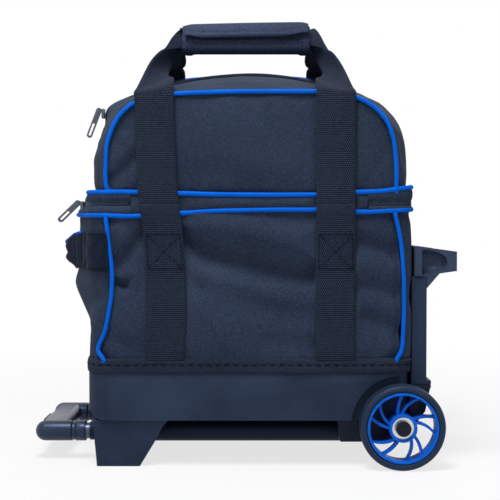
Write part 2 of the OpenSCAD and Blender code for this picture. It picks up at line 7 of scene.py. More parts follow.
import bpy
import numpy as np
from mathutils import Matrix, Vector


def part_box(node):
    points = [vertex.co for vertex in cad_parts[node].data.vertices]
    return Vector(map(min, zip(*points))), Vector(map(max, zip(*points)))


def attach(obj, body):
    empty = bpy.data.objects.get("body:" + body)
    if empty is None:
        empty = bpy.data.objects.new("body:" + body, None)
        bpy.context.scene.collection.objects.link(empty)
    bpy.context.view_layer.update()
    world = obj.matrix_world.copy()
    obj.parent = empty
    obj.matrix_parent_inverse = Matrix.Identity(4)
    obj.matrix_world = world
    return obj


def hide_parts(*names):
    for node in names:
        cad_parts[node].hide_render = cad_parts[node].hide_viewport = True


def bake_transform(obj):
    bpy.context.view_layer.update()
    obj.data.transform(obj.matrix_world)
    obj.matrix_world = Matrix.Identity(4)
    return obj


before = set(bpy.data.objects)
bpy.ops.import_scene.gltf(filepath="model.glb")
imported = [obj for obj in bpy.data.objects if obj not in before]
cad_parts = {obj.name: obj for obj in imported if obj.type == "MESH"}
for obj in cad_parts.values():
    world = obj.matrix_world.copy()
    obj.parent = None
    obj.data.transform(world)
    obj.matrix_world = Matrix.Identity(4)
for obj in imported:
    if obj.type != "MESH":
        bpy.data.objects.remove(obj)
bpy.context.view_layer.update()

scene = bpy.context.scene
MM = 0.001


# ---- Studio -------------------------------------------------------------------------------------
# A pale paper floor, an even white surround and large soft lamps. The camera stands 1.4 m off at
# the height of the zipped band, with a long lens.

def srgb(code):
    """An sRGB hex colour as the linear values that a shader takes."""
    parts = [int(code[i:i + 2], 16) / 255 for i in (1, 3, 5)]
    return tuple(c / 12.92 if c <= 0.04045 else ((c + 0.055) / 1.055) ** 2.4 for c in parts) + (1,)


def add(tree, kind, settings=None, links=None):
    """Adds one shader node with its settings and its links, each a node or (node, output)."""
    made = tree.nodes.new("ShaderNode" + kind)
    for key, value in (settings or {}).items():
        if isinstance(key, str) and hasattr(made, key):
            setattr(made, key, value)
        else:
            made.inputs[key].default_value = value
    for key, source in (links or {}).items():
        node, output = source if isinstance(source, tuple) else (source, 0)
        tree.links.new(node.outputs[output], made.inputs[key])
    return made


def finish(name, **settings):
    """A new material, with its node tree and its shader."""
    made = bpy.data.materials.new(name)
    made.use_nodes = True
    shader = made.node_tree.nodes["Principled BSDF"]
    for key, value in settings.items():
        shader.inputs[key.replace("_", " ")].default_value = value
    return made, made.node_tree, shader


def take(*pieces):
    """Selects these pieces alone, and makes the first the active one."""
    for item in list(bpy.context.selected_objects):
        item.select_set(False)
    for piece in pieces:
        piece.select_set(True)
    bpy.context.view_layer.objects.active = pieces[0]


camera_place = (8.6, -1390, 291)
camera = bpy.data.objects.new("camera", bpy.data.cameras.new("camera"))
scene.collection.objects.link(camera)
camera.location = [c * MM for c in camera_place]
camera.rotation_euler = (radians(90 - 1.541), 0, 0)
camera.data.lens = 78.1
camera.data.sensor_width = 36
scene.camera = camera
scene.view_settings.view_transform = "Standard"
bag_middle = Vector((0, 0, 0.25))


def softbox(name, place, size, power):
    """A round soft lamp that points at the bag's middle. Its place and size are in metres."""
    lamp = bpy.data.objects.new(name, bpy.data.lights.new(name, "AREA"))
    scene.collection.objects.link(lamp)
    lamp.location = place
    lamp.rotation_euler = (bag_middle - Vector(place)).to_track_quat("-Z", "Y").to_euler()
    lamp.data.shape = "DISK"
    lamp.data.size = size
    lamp.data.energy = power


softbox("lamp_over", (-0.22, -0.72, 1.75), 0.7, 27)
softbox("lamp_front_left", (-1.3, -1.7, 1.2), 1.0, 3.2)
softbox("lamp_front_right", (1.5, -1.5, 0.9), 1.0, 2.4)
softbox("lamp_back", (0.4, 1.7, 1.3), 1.2, 9)


def seen_by_lens(tree):
    """The light path node, and 1 for what the lens sees itself or in a reflection."""
    rays = add(tree, "LightPath")
    either = add(tree, "Math", {"operation": "MAXIMUM"},
                 {0: (rays, "Is Camera Ray"), 1: (rays, "Is Glossy Ray")})
    return rays, either


def show_white(tree, share, lit, white, output):
    """Mixes a lit shader with plain white by share, and sends the result to the output node."""
    plain = add(tree, white, {"Color": (1, 1, 1, 1), "Strength": 1.0})
    mixed = add(tree, "MixShader", None, {0: share, 1: lit, 2: plain})
    tree.links.new(mixed.outputs[0], tree.nodes[output].inputs["Surface"])


surround = bpy.data.worlds.new("surround")
surround.use_nodes = True
scene.world = surround
sky = surround.node_tree
sky_rays, sky_seen = seen_by_lens(sky)
sky_share = add(sky, "Math", {"operation": "MAXIMUM"},
                {0: sky_seen, 1: (sky_rays, "Is Transmission Ray")})
sky_light = sky.nodes["Background"]
sky_light.inputs["Color"].default_value = srgb("#f4f7ff")
sky_light.inputs["Strength"].default_value = 0.25
show_white(sky, sky_share, sky_light, "Background", "World Output")

bpy.ops.mesh.primitive_plane_add(size=14, location=(0, 0, 0))
floor = bpy.context.object
floor.name = "floor"
paper, sheet, paper_shader = finish("paper_floor_matt", Base_Color=srgb("#f2f2f2"), Roughness=0.9,
                                    Specular_IOR_Level=0.1)
paper_seen = seen_by_lens(sheet)[1]
paper_place = add(sheet, "TexCoord")
paper_reach = add(sheet, "VectorMath", {"operation": "LENGTH"}, {0: (paper_place, "Object")})
paper_fade = add(sheet, "MapRange",
                 {"From Min": 0.35, "From Max": 1.1, "To Min": 0.74, "To Max": 1.0},
                 {"Value": (paper_reach, "Value")})
paper_share = add(sheet, "Math", {"operation": "MULTIPLY"}, {0: paper_seen, 1: paper_fade})
show_white(sheet, paper_share, paper_shader, "Emission", "Material Output")
floor.data.materials.append(paper)


# ---- Base mouldings -----------------------------------------------------------------------------
# The tray, stand foot, axle housing, spine and parking feet are injection moulded in dark blue-grey
# polypropylene from grained tools. The grain makes a broad soft highlight. All but the parking feet
# have their long edges rounded by 1 to 2 mm, so that they catch a thin light line.

def clouds(tree, scale, detail, roughness=0.5):
    """A node that gives places on the piece, and slow changes of tone over it."""
    spot = add(tree, "TexCoord")
    return spot, add(tree, "TexNoise", {"Scale": scale, "Detail": detail, "Roughness": roughness},
                     {"Vector": (spot, "Object")})


def connect(tree, shader, dark, light, share, height, strength, depth, rough=None):
    """Feeds a shader two tones mixed by share, relief from height and, if it varies, roughness."""
    tone = add(tree, "Mix", {"data_type": "RGBA", 6: srgb(dark), 7: srgb(light)}, {0: share})
    relief = add(tree, "Bump", {"Strength": strength, "Distance": depth * MM}, {"Height": height})
    tree.links.new(tone.outputs[2], shader.inputs["Base Color"])
    tree.links.new(relief.outputs[0], shader.inputs["Normal"])
    if rough is not None:
        tree.links.new(rough.outputs[0], shader.inputs["Roughness"])


def moulded_plastic(name, dark, light, grain, roughness, relief, loose=1.0, gloss=0.25):
    """Moulded plastic: grain cells, loose or in ordered rows, and slow cloudy changes of tone."""
    # The blue specular tint is painted light: it gives every reflection the cast of a blue sky.
    made, tree, shader = finish(name, IOR=1.49, Specular_IOR_Level=gloss,
                                Specular_Tint=srgb("#b4caff"))
    spot, cloud = clouds(tree, 14.0, 4.0, 0.6)
    turned = add(tree, "Mapping", {"Rotation": (0, pi / 4, 0)}, {"Vector": (spot, "Object")})
    cells = add(tree, "TexVoronoi", {"feature": "SMOOTH_F1", "Scale": 1 / (grain * MM),
                                     "Randomness": loose}, {"Vector": turned})
    grit = add(tree, "TexNoise", {"Scale": 900.0, "Detail": 2.0}, {"Vector": (spot, "Object")})
    mixed = add(tree, "Math", {"operation": "MULTIPLY_ADD", 1: 0.35},
                {0: (grit, "Fac"), 2: (cells, "Distance")})
    mottle = add(tree, "Mix", {"data_type": "RGBA", 0: 0.5},
                 {6: (cloud, "Fac"), 7: (cells, "Distance")})
    tone = add(tree, "MapRange", {"From Min": 0.25, "From Max": 0.7}, {"Value": (mottle, 2)})
    rubbed = add(tree, "MapRange", {"To Min": roughness - 0.06, "To Max": roughness + 0.08},
                 {"Value": (cloud, "Fac")})
    connect(tree, shader, dark, light, tone, mixed, relief, 0.25, rubbed)
    return made


def face_outward(piece, merge=0.0, flatten=False):
    """Merges points closer than merge and faces that are flat together, and turns faces outward."""
    take(piece)
    bpy.ops.object.mode_set(mode="EDIT")
    bpy.ops.mesh.select_all(action="SELECT")
    if merge:
        bpy.ops.mesh.remove_doubles(threshold=merge * MM)
    if flatten:
        bpy.ops.mesh.dissolve_limited(angle_limit=radians(1))
    bpy.ops.mesh.normals_make_consistent(inside=False)
    bpy.ops.object.mode_set(mode="OBJECT")


def reshape(piece, kind, **settings):
    """Applies one modifier to a piece."""
    take(piece)
    modifier = piece.modifiers.new("reshape", kind)
    for key, value in settings.items():
        setattr(modifier, key, value)
    bpy.ops.object.modifier_apply(modifier=modifier.name)


def dress(piece, body, surface, wall=0.0, rounds=0, nodes=()):
    """Gives a piece its smoothing, thickness, material, body and the CAD nodes it stands for."""
    if rounds:
        reshape(piece, "SUBSURF", levels=rounds, render_levels=rounds)
    if wall:
        reshape(piece, "SOLIDIFY", thickness=wall * MM, offset=-1)
    piece.data.materials.clear()
    piece.data.materials.append(surface)
    if body:
        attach(piece, body)
    if nodes:
        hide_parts(*nodes)
    return piece


def rounded_copy(name, node, body, edge, surface, turns=3, whole=True):
    """A CAD moulding's own shape with its edges rounded, standing for that node."""
    piece = bpy.data.objects.new(name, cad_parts[node].data.copy())
    scene.collection.objects.link(piece)
    face_outward(piece, merge=0.01, flatten=whole)
    bpy.ops.mesh.customdata_custom_splitnormals_clear()
    reshape(piece, "BEVEL", width=edge * MM, segments=turns, limit_method="ANGLE",
            angle_limit=radians(35), use_clamp_overlap=False)
    bpy.ops.object.shade_smooth_by_angle(angle=radians(32))
    return dress(piece, body, surface, nodes=(node,))


tray_plastic = moulded_plastic("polypropylene_grained", "#1a2231", "#38445a", 2.4, 0.6, 1.0,
                               loose=0.15, gloss=0.12)
housing_plastic = moulded_plastic("polypropylene_smooth", "#0c111b", "#171d2a", 1.0, 0.42, 0.2)
parking_plastic = moulded_plastic("polypropylene_satin", "#212937", "#364154", 1.0, 0.42, 0.12,
                                  gloss=0.5)

rounded_copy("tray", "base_tray", "chassis", 1.2, tray_plastic)
rounded_copy("foot", "stand_foot", "chassis", 1.5, tray_plastic)
rounded_copy("housing", "axle_housing", "chassis", 1.2, housing_plastic)
rounded_copy("spine", "spine_panel", "chassis", 1.2, tray_plastic)


def metal(name, dark, light, roughness):
    """Metal with a fine drawn grain, and small changes of polish."""
    made, tree, shader = finish(name, Metallic=1.0)
    spot = add(tree, "TexCoord")
    along = add(tree, "Mapping", {"Scale": (60, 900, 900)}, {"Vector": (spot, "Object")})
    drawn = add(tree, "TexNoise", {"Scale": 1.0, "Detail": 3.0}, {"Vector": along})
    worn = add(tree, "MapRange", {"To Min": roughness - 0.05, "To Max": roughness + 0.1},
               {"Value": (drawn, "Fac")})
    connect(tree, shader, dark, light, (drawn, "Fac"), (drawn, "Fac"), 0.15, 0.05, worn)
    return made


def paint(surface, *nodes):
    """Gives carried-over CAD nodes their finished material."""
    for name in nodes:
        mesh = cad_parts[name].data
        mesh.materials.clear()
        mesh.materials.append(surface)


zinc = metal("steel_zinc_plated", "#8f949c", "#c4c8ce", 0.32)
paint(parking_plastic, "parking_foot_front", "parking_foot_rear")
paint(zinc, "base_screws", "spine_screws", "axle_spacers", "lock_rods")


# ---- Pull handle --------------------------------------------------------------------------------
# A fixed pair of steel tubes under the tray is powder coated black. Two pairs of satin grey tubes
# slide in it, one within the other, through moulded collars. The grip is one moulding with a
# thumb button.

tube_coat = moulded_plastic("powder_coat_black", "#0d121c", "#171d2a", 0.5, 0.5, 0.3)
grip_plastic = moulded_plastic("nylon_grip_satin", "#1a2231", "#2a3445", 0.9, 0.34, 0.1, gloss=0.5)
paint(tube_coat, "outer_tube_front", "outer_tube_rear", "inner_end_plugs")
paint(metal("steel_tube_satin", "#39414f", "#5b6577", 0.3), "mid_tubes", "inner_tubes")
rounded_copy("tube_collars", "outer_collars", "chassis", 0.8, housing_plastic)
rounded_copy("stage_collars", "mid_collars", "mid_stage", 0.6, housing_plastic)
rounded_copy("grip", "pull_grip", "pull_handle", 1.2, grip_plastic)
rounded_copy("thumb_button", "release_button", "release", 0.8, housing_plastic)


# ---- Wheels -------------------------------------------------------------------------------------
# Cast polyurethane tyres with rounded shoulders on blue nylon rims, whose five pairs of curved
# spokes leave the bearing in its silver hub in full view.

tyre_rubber = moulded_plastic("polyurethane_tyre", "#1b2434", "#2b374c", 1.2, 0.45, 0.25)
rim_nylon = moulded_plastic("nylon_rim_blue", "#024fb4", "#066ae0", 0.8, 0.35, 0.12)
bearing_steel = metal("bearing_steel_ground", "#b9bcc4", "#dfe1e6", 0.22)
nut_steel = metal("steel_nut_blackened", "#181c24", "#2b313c", 0.4)
for side in ("front", "rear"):
    rounded_copy("wheel_tyre_" + side, "tyre_" + side, side + "_wheel", 3.5, tyre_rubber,
                 turns=5, whole=False)
    rounded_copy("wheel_rim_" + side, "rim_" + side, side + "_wheel", 0.6, rim_nylon,
                 turns=2, whole=False)
    paint(bearing_steel, "bearing_" + side)
paint(nut_steel, "axle_nuts", "axle_rod")


# ---- Ball compartment ---------------------------------------------------------------------------
# Four panels of dark navy woven polyester, sewn to each other down the corners with blue piping
# between them. The slack left side bulges, and the front sags in broad soft folds.

bag_left, bag_right, bag_y, bag_corner = -184, 200.5, 118, 28
strap_w = 46
tray_top, binding_top, band_z, zip_z = 113, 128, 300, 311.15
corner_arc = pi / 2 * bag_corner
front_start, front_end = bag_left + bag_corner, bag_right - bag_corner
bag_flat, bag_side = front_end - front_start, 2 * (bag_y - bag_corner)
girth = 2 * bag_flat + 2 * bag_side + 4 * corner_arc
right_mid = front_end + corner_arc + bag_side / 2


def between(table, where):
    """Reads a value at any place from (place, value) pairs, easing smoothly from pair to pair."""
    places = [pair[0] for pair in table]
    values = [np.array(pair[1], float) for pair in table]
    if where <= places[0]:
        return values[0]
    if where >= places[-1]:
        return values[-1]
    i = max(k for k in range(len(places) - 1) if places[k] <= where)
    step = places[i + 1] - places[i]
    tangents = []
    for k in (i, i + 1):
        a, b = max(k - 1, 0), min(k + 1, len(places) - 1)
        tangents.append((values[b] - values[a]) / (places[b] - places[a]) * step)
    t = (where - places[i]) / step
    return ((2 * t ** 3 - 3 * t ** 2 + 1) * values[i] + (t ** 3 - 2 * t ** 2 + t) * tangents[0]
            + (3 * t ** 2 - 2 * t ** 3) * values[i + 1] + (t ** 3 - t ** 2) * tangents[1])


def outline(s):
    """Point and outward direction on the bag's outline, s along it from x = 0 at the front."""
    s = (s - front_start) % girth
    x, y, heading = front_start, -bag_y, 0.0
    for length in (bag_flat, bag_side, bag_flat, bag_side):
        if s <= length:
            return x + s * cos(heading), y + s * sin(heading), sin(heading), -cos(heading)
        x, y, s = x + length * cos(heading), y + length * sin(heading), s - length
        cx, cy = x - bag_corner * sin(heading), y + bag_corner * cos(heading)
        turn = heading - pi / 2 + min(s, corner_arc) / bag_corner
        if s <= corner_arc:
            return cx + bag_corner * cos(turn), cy + bag_corner * sin(turn), cos(turn), sin(turn)
        heading += pi / 2
        x, y, s = cx + bag_corner * cos(turn), cy + bag_corner * sin(turn), s - corner_arc
    return x, y, sin(heading), -cos(heading)


def outward(s):
    return outline(s)[2], outline(s)[3], 0


def arch(y, half):
    """1 in the middle of the bag's depth, easing to 0 at half to either side."""
    return cos(pi / 2 * min(1, abs(y) / half)) ** 1.2


def hill(distance, width):
    """1 at no distance, easing to 0 over width."""
    return math.exp(-(distance / width) ** 2)


def clamp(value):
    return max(0, min(1, value))


left_swell = [(113, 0), (128, 2), (150, 6), (172, 12), (190, 20), (205, 27), (215, 29.5), (230, 26),
              (250, 24), (275, 25), (297, 25), (305, 22), (314, 16), (324, 9)]
right_swell = [(236, 0), (255, 4), (280, 6), (300, 5)]
corner_swell = [(120, 0), (134, 5.5), (262, 5.5), (300, 3)]


def body_point(s, z, out=0.0):
    """A point on the compartment's side at height z, out in front of the cloth."""
    x, y, nx, ny = outline(s)
    if x < front_start:
        out += between(left_swell, z) * arch(y, 95)
    if x > front_end:
        out += between(right_swell, z) * arch(y, 70)
        # the right corners are full, and lie against the spine's edges
        out += between(corner_swell, z) * hill(math.acos(min(1, abs(ny))) - 0.88, 0.3)
    return x + nx * out, y + ny * out, z


def place_of(x):
    """How far along the outline a front point lies that is seen at x."""
    if x < front_start:
        return front_start - bag_corner * math.asin((front_start - x) / bag_corner)
    if x > front_end:
        return front_end + bag_corner * math.asin((x - front_end) / bag_corner)
    return x


left_seam_x = [(113, -166), (126, -163), (139, -170.5), (161, -162.0), (197, -155.0), (208, -153.8),
               (230, -153.3), (262, -156.8), (300, -161)]
right_seam_x = [(113, 180), (127, 181), (138, 186.2), (165, 187.8), (198, 188.3), (231, 187.8),
                (264, 185.6), (284, 182.2), (300, 178.4)]


def left_seam(z):
    return place_of(float(between(left_seam_x, z)))


def right_seam(z):
    return place_of(float(between(right_seam_x, z)))


def ridge(x, z, ax, az, bx, bz, width):
    """1 on the line from a to b, easing to 0 over width."""
    dx, dz = bx - ax, bz - az
    t = clamp(((x - ax) * dx + (z - az) * dz) / (dx * dx + dz * dz))
    return hill(math.hypot(x - ax - t * dx, z - az - t * dz), width)


def folds(table, x, z):
    """The height of the folds at a place. A fold is a height and the lines its crest follows."""
    return sum(height * max(ridge(x, z, *line) for line in lines) for height, *lines in table)


def new_piece(name, points, faces):
    """A smooth mesh with room for the places on its cloth."""
    mesh = bpy.data.meshes.new(name)
    mesh.from_pydata(points, [], faces)
    mesh.uv_layers.new(name="cloth")
    for face in mesh.polygons:
        face.use_smooth = True
    piece = bpy.data.objects.new(name, mesh)
    scene.collection.objects.link(piece)
    return piece


def grid_piece(name, surface, across, along, flip=False):
    """Quads laid over surface(u, v), which gives a point and its place on the cloth, in mm."""
    points, places = [], []
    for j in range(along + 1):
        for i in range(across + 1):
            point, place = surface(i / across, j / along)
            points.append([c * MM for c in point])
            places.append([c * MM for c in place])
    row = across + 1
    faces = [(j * row + i, j * row + i + 1, (j + 1) * row + i + 1, (j + 1) * row + i)
             for j in range(along) for i in range(across)]
    piece = new_piece(name, points, faces)
    cut = piece.data.uv_layers["cloth"]
    for loop in piece.data.loops:
        cut.data[loop.index].uv = places[loop.vertex_index]
    if flip:
        piece.data.flip_normals()
    return piece


def settle(piece, row, pressure, spare, most):
    """Lets a panel of spare cloth puff and wrinkle between its seams, by most mm at the most."""
    mesh = piece.data
    start = np.array([v.co[:] for v in mesh.vertices])
    count = len(start)
    held = [i for i in range(count) if i % row in (0, row - 1) or i < row or i >= count - row]
    group = piece.vertex_groups.new(name="seams")
    group.add(held, 1.0, "ADD")
    cloth = piece.modifiers.new("cloth", "CLOTH")
    for key, value in {"quality": 6, "mass": 0.25, "tension_stiffness": 60,
                       "compression_stiffness": 40, "shear_stiffness": 12,
                       "bending_stiffness": 0.6, "vertex_group_mass": "seams",
                       "use_pressure": True, "uniform_pressure_force": pressure,
                       "shrink_min": -spare}.items():
        setattr(cloth.settings, key, value)
    cloth.settings.effector_weights.gravity = 0
    cloth.collision_settings.use_collision = False
    for step in range(1, 21):
        scene.frame_set(step)
    posed = piece.evaluated_get(bpy.context.evaluated_depsgraph_get())
    moved = np.array([v.co[:] for v in posed.data.vertices]) - start
    normals = np.array([v.normal[:] for v in mesh.vertices])
    reach = np.linalg.norm(moved, axis=1, keepdims=True) + 1e-9
    limit = most * MM
    moved *= np.tanh(reach / limit) * limit / reach
    pushed_out = (moved * normals).sum(axis=1, keepdims=True)
    moved -= normals * np.maximum(pushed_out, 0) * 0.6
    piece.modifiers.remove(cloth)
    piece.vertex_groups.remove(group)
    scene.frame_set(1)
    for vertex, place in zip(mesh.vertices, start + moved):
        vertex.co = place


def woven_cloth(name, dark, light, thread, relief, sheen):
    """Woven polyester: threads that pass over and under, and a slightly uneven dye."""
    made, tree, shader = finish(name, Roughness=0.75, Sheen_Weight=sheen, Sheen_Roughness=0.5,
                                Specular_IOR_Level=0.04)
    place = add(tree, "UVMap")
    weave = add(tree, "TexBrick",
                {"offset": 0.5, "Scale": 1.0 / (thread * MM), "Brick Width": 1.0,
                 "Row Height": 0.62, "Mortar Size": 0.1, "Mortar Smooth": 1.0, "Bias": 0.0,
                 "Color1": (0.35, 0.35, 0.35, 1), "Color2": (0.75, 0.75, 0.75, 1),
                 "Mortar": (0, 0, 0, 1)}, {"Vector": place})
    spot, cloud = clouds(tree, 9.0, 2.0)
    fleck = add(tree, "TexNoise", {"Scale": 850.0, "Detail": 2.0}, {"Vector": (spot, "Object")})
    shade = add(tree, "Mix", {"data_type": "RGBA", 0: 0.5},
                {6: (cloud, "Fac"), 7: (weave, "Color")})
    shade_fleck = add(tree, "Mix", {"data_type": "RGBA", 0: 0.5},
                      {6: (shade, 2), 7: (fleck, "Fac")})
    spread = add(tree, "MapRange", {"From Min": 0.38, "From Max": 0.62},
                 {"Value": (shade_fleck, 2)})
    connect(tree, shader, dark, light, spread, (weave, "Color"), relief, 0.3)
    return made


shell_cloth = woven_cloth("polyester_600d_woven_navy", "#212a3c", "#3c485e", 1.6, 0.6, 0.02)
# The lid's copy of the cloth is painted a touch darker: painted shade against the strong light on
# the lid's top.
lid_cloth_painted_shade = woven_cloth("polyester_600d_woven_navy_lid_painted_shade", "#202939", "#39455a", 1.6, 0.6, 0.02)

front_folds = (
    # one slack valley falls to the right from the left strap, with a lobe below and a crest above
    (-15.0, (-74, 270, -46, 254, 15), (-46, 254, -10, 243, 15), (-10, 243, 26, 233, 15),
     (26, 233, 80, 227, 16)),
    (4.0, (-46, 225, -14, 222, 15), (-14, 222, 44, 202, 17)),
    (8.0, (-56, 290, 20, 278, 16), (20, 278, 84, 260, 15)),
    # shallow folds between the straps
    (-4.0, (-68, 232, -52, 212, 10)), (1.8, (-40, 168, 40, 160, 30)),
    (-2.6, (30, 148, 84, 142, 12)), (-2.0, (20, 190, 84, 176, 11)),
    # the dimple beside the left corner, and the folds that the side handle pulls
    (-9.0, (-153, 216.5, -140, 214.5, 5.0)), (-4.5, (-140, 215, -133, 221, 5.5)),
    (2.8, (-142, 231, -128, 222, 8)), (-9.0, (-113, 276, -146, 237, 11)),
    (2.0, (-150, 280, -128, 262, 11)), (-2.4, (-150, 150, -120, 140, 11)),
    (1.6, (-145, 180, -122, 172, 18)),
    # folds between the right strap and the corner
    (-7.5, (132, 268, 176, 252, 11)), (2.2, (136, 246, 174, 232, 11)),
    (-5.0, (134, 214, 180, 206, 10)), (-4.6, (150, 176, 186, 160, 10)),
    (1.6, (138, 190, 176, 184, 10)))


def front_relief(x, z):
    """How far the front's cloth stands in front of its flat, in mm: folds, dimples and seams."""
    edge = min(x - float(between(left_seam_x, z)), float(between(right_seam_x, z)) - x)
    deep = -0.6 - 3.0 * hill(max(edge, 0), 10)
    deep -= 1.6 * hill(band_z - z, 9) + 1.8 * hill(z - binding_top, 9)
    deep += folds(front_folds, x, z)
    ripple = sin(x / 4.1 + 0.7 * sin(x / 17)) * hill(z - binding_top, 12)
    ripple += sin(x / 3.6 + 1.3) * hill(band_z - z, 9)
    return min(deep + 0.45 * ripple, under_strap(x))


def under_strap(x):
    """How far the cloth may stand out: it lies flat where a strap is sewn over it."""
    gap = min(max(left - x, x - left - strap_w) for left in (-114, 86))
    return -1.0 + 8.0 * clamp((gap + 2) / 26)


lower_line = [(-163, 297.5), (-130, 296.5), (-80, 299.5), (-20, 303.0), (90, 304.0), (140, 301.5),
              (170, 303), (216, 305)]
bead_turn = front_end + corner_arc


def round_back(s, start, drop):
    """A bead's height round the sides and back, where it falls evenly by drop."""
    return start - drop * (s - bead_turn) / (girth + front_start - bead_turn)


def lower_bead_z(s):
    return float(between(lower_line, s)) if s <= bead_turn else round_back(s, 305, 7.5)


def panel_point(start, end, u, v):
    """How far along the outline and how high a panel's cloth lies. Its top is under the bead."""
    z = tray_top + 2 + (band_z - tray_top - 2) * v
    s = start(z) + (end(z) - start(z)) * u
    return s, tray_top + 2 + (lower_bead_z(s) - tray_top - 1) * v


def front_surface(u, v):
    s, z = panel_point(left_seam, right_seam, u, v)
    return body_point(s, z, front_relief(outline(s)[0], z)), (s, z)


side_folds = ((-2.6, (10, 206, 70, 180, 13)), (-2.2, (60, 160, 130, 170, 14)),
              (-1.8, (150, 190, 220, 205, 12)), (-1.4, (100, 286, 180, 280, 9)))


def side_relief(t, z, span):
    """Folds on the side panels: t runs from seam to seam, span is the panel's width."""
    deep = -0.8 - 2.0 * hill(min(t, 1 - t) * span, 9) - 1.0 * hill(band_z - z, 9)
    deep += folds(side_folds, t * span, z)
    return deep + 0.35 * sin(t * span / 4.3) * hill(z - binding_top, 12)


def panel_between(start, end, flip=False):
    """A side or back panel from one seam to the next."""
    def surface(u, v):
        s, z = panel_point(start, end, u, v)
        return body_point(s, z, side_relief(1 - u if flip else u, z, end(z) - start(z))), (s, z)
    return surface


def rear_right_seam(z):
    return 2 * right_mid - right_seam(z)


def rear_left_seam(z):
    return 2 * right_mid - left_seam(z)


def left_seam_round(z):
    return left_seam(z) + girth


for name, surface, across, node in (
        ("front_cloth", front_surface, 110, "front_panel"),
        ("right_cloth", panel_between(right_seam, rear_right_seam), 60, "right_gusset"),
        ("back_cloth", panel_between(rear_right_seam, rear_left_seam), 80, "back_panel"),
        ("left_cloth", panel_between(rear_left_seam, left_seam_round, True), 66, "left_gusset")):
    panel = grid_piece(name, surface, across, 46)
    settle(panel, across + 1, 1.2, 0.012, 4.0)
    dress(panel, "chassis", shell_cloth, wall=2.4, rounds=1, nodes=(node,))


# ---- Piping -------------------------------------------------------------------------------------
# A soft cord in bright blue woven binding, caught between the panels as they are sewn. It shows as
# a round bead along every corner and round the zipped band.

def bead(name, path, radius, closed=False, sides=10):
    """A round cord along path, with its length and girth as its place on the cloth."""
    path = [Vector(p) for p in path]
    count = len(path)
    points, lengths, run = [], [], 0.0
    turn = None
    for i, here in enumerate(path):
        before = path[i - 1] if i or closed else here
        after = path[(i + 1) % count] if i < count - 1 or closed else here
        along = (after - before).normalized()
        if turn is None:
            turn = along.orthogonal().normalized()
        turn = (turn - along * turn.dot(along)).normalized()
        other = along.cross(turn)
        if i:
            run += (here - path[i - 1]).length
        lengths.append(run)
        for k in range(sides):
            a = 2 * pi * k / sides
            points.append((here + (turn * cos(a) + other * sin(a)) * radius) * MM)
    rings = count if closed else count - 1
    faces = []
    for i in range(rings):
        j = (i + 1) % count
        for k in range(sides):
            m = (k + 1) % sides
            faces.append((i * sides + k, i * sides + m, j * sides + m, j * sides + k))
    if not closed:
        faces.append(tuple(range(sides - 1, -1, -1)))
        faces.append(tuple((count - 1) * sides + k for k in range(sides)))
    piece = new_piece(name, points, faces)
    mesh = piece.data
    cut = mesh.uv_layers["cloth"]
    for face in mesh.polygons:
        face.use_smooth = len(face.vertices) == 4
        closing = closed and face.vertices[0] // sides == count - 1
        for loop in face.loop_indices:
            i, k = divmod(mesh.loops[loop].vertex_index, sides)
            run = lengths[-1] + 4 if closing and i == 0 else lengths[i]
            cut.data[loop].uv = (run * MM, k / sides * 2 * pi * radius * MM)
    return piece


def join(name, pieces):
    """Joins several meshes into one piece."""
    take(*pieces)
    bpy.ops.object.join()
    pieces[0].name = name
    return pieces[0]


def piping_cloth():
    made, tree, shader = finish("polyester_piping_blue", Roughness=0.65, Specular_IOR_Level=0.06)
    place = add(tree, "UVMap")
    twill = add(tree, "TexWave", {"wave_type": "BANDS", "bands_direction": "DIAGONAL",
                                  "Scale": 150.0, "Distortion": 0.6, "Detail": 2.0},
                {"Vector": place})
    spot, cloud = clouds(tree, 40.0, 3.0)
    both = add(tree, "Mix", {"data_type": "RGBA", 0: 0.5}, {6: (twill, "Fac"), 7: (cloud, "Fac")})
    connect(tree, shader, "#004db4", "#0070ea", (both, 2), (twill, "Fac"), 0.3, 0.2)
    return made


def band_line(height, out):
    """A closed line round the bag, at the height that height(s) gives."""
    places = [front_start + girth * k / 300 for k in range(300)]
    return [body_point(s, height(s), out) for s in places]


piping_blue = piping_cloth()
piping_r, band_bead_r = 2.6, 2.8
corner_beads = []
for seam in (left_seam, right_seam, rear_right_seam, rear_left_seam):
    seam_top = lower_bead_z(seam(band_z) % girth) - 1.5
    line = [body_point(seam(z), z, 0.3) for z in np.linspace(binding_top - 4, seam_top, 45)]
    corner_beads.append(bead("corner_bead", line, piping_r))
dress(join("corner_piping", corner_beads), "chassis", piping_blue,
      nodes=("body_piping",))

dress(bead("band_bead_lower", band_line(lower_bead_z, 0.6), band_bead_r, closed=True), "chassis",
      piping_blue, nodes=("band_piping_lower",))


# ---- Binding ------------------------------------------------------------------------------------
# A folded woven tape covers the raw edge where the cloth is sewn into the tray's rim. Heavy thread
# holds it in one row of long stitches.

def small_shapes(name, spots, rings, sides, body, surface):
    """Many small closed shapes as one piece. A spot is a middle, a long axis and two thick axes;
    a ring is a place on the long axis and a size."""
    points, faces = [], []
    for middle, axis, thick, wide in spots:
        first = len(points)
        for place, size in rings:
            for a in range(sides):
                turn = 2 * pi * a / sides
                rim = (thick * cos(turn) + wide * sin(turn)) * size
                points.append((middle + axis * place + rim) * MM)
        for r in range(len(rings) - 1):
            low, high = first + r * sides, first + (r + 1) * sides
            for a in range(sides):
                b = (a + 1) % sides
                faces.append((low + a, high + a, high + b, low + b))
        faces.append(tuple(range(first, first + sides)))
        faces.append(tuple(range(len(points) - 1, len(points) - 1 - sides, -1)))
    piece = new_piece(name, points, faces)
    face_outward(piece)
    return dress(piece, body, surface)


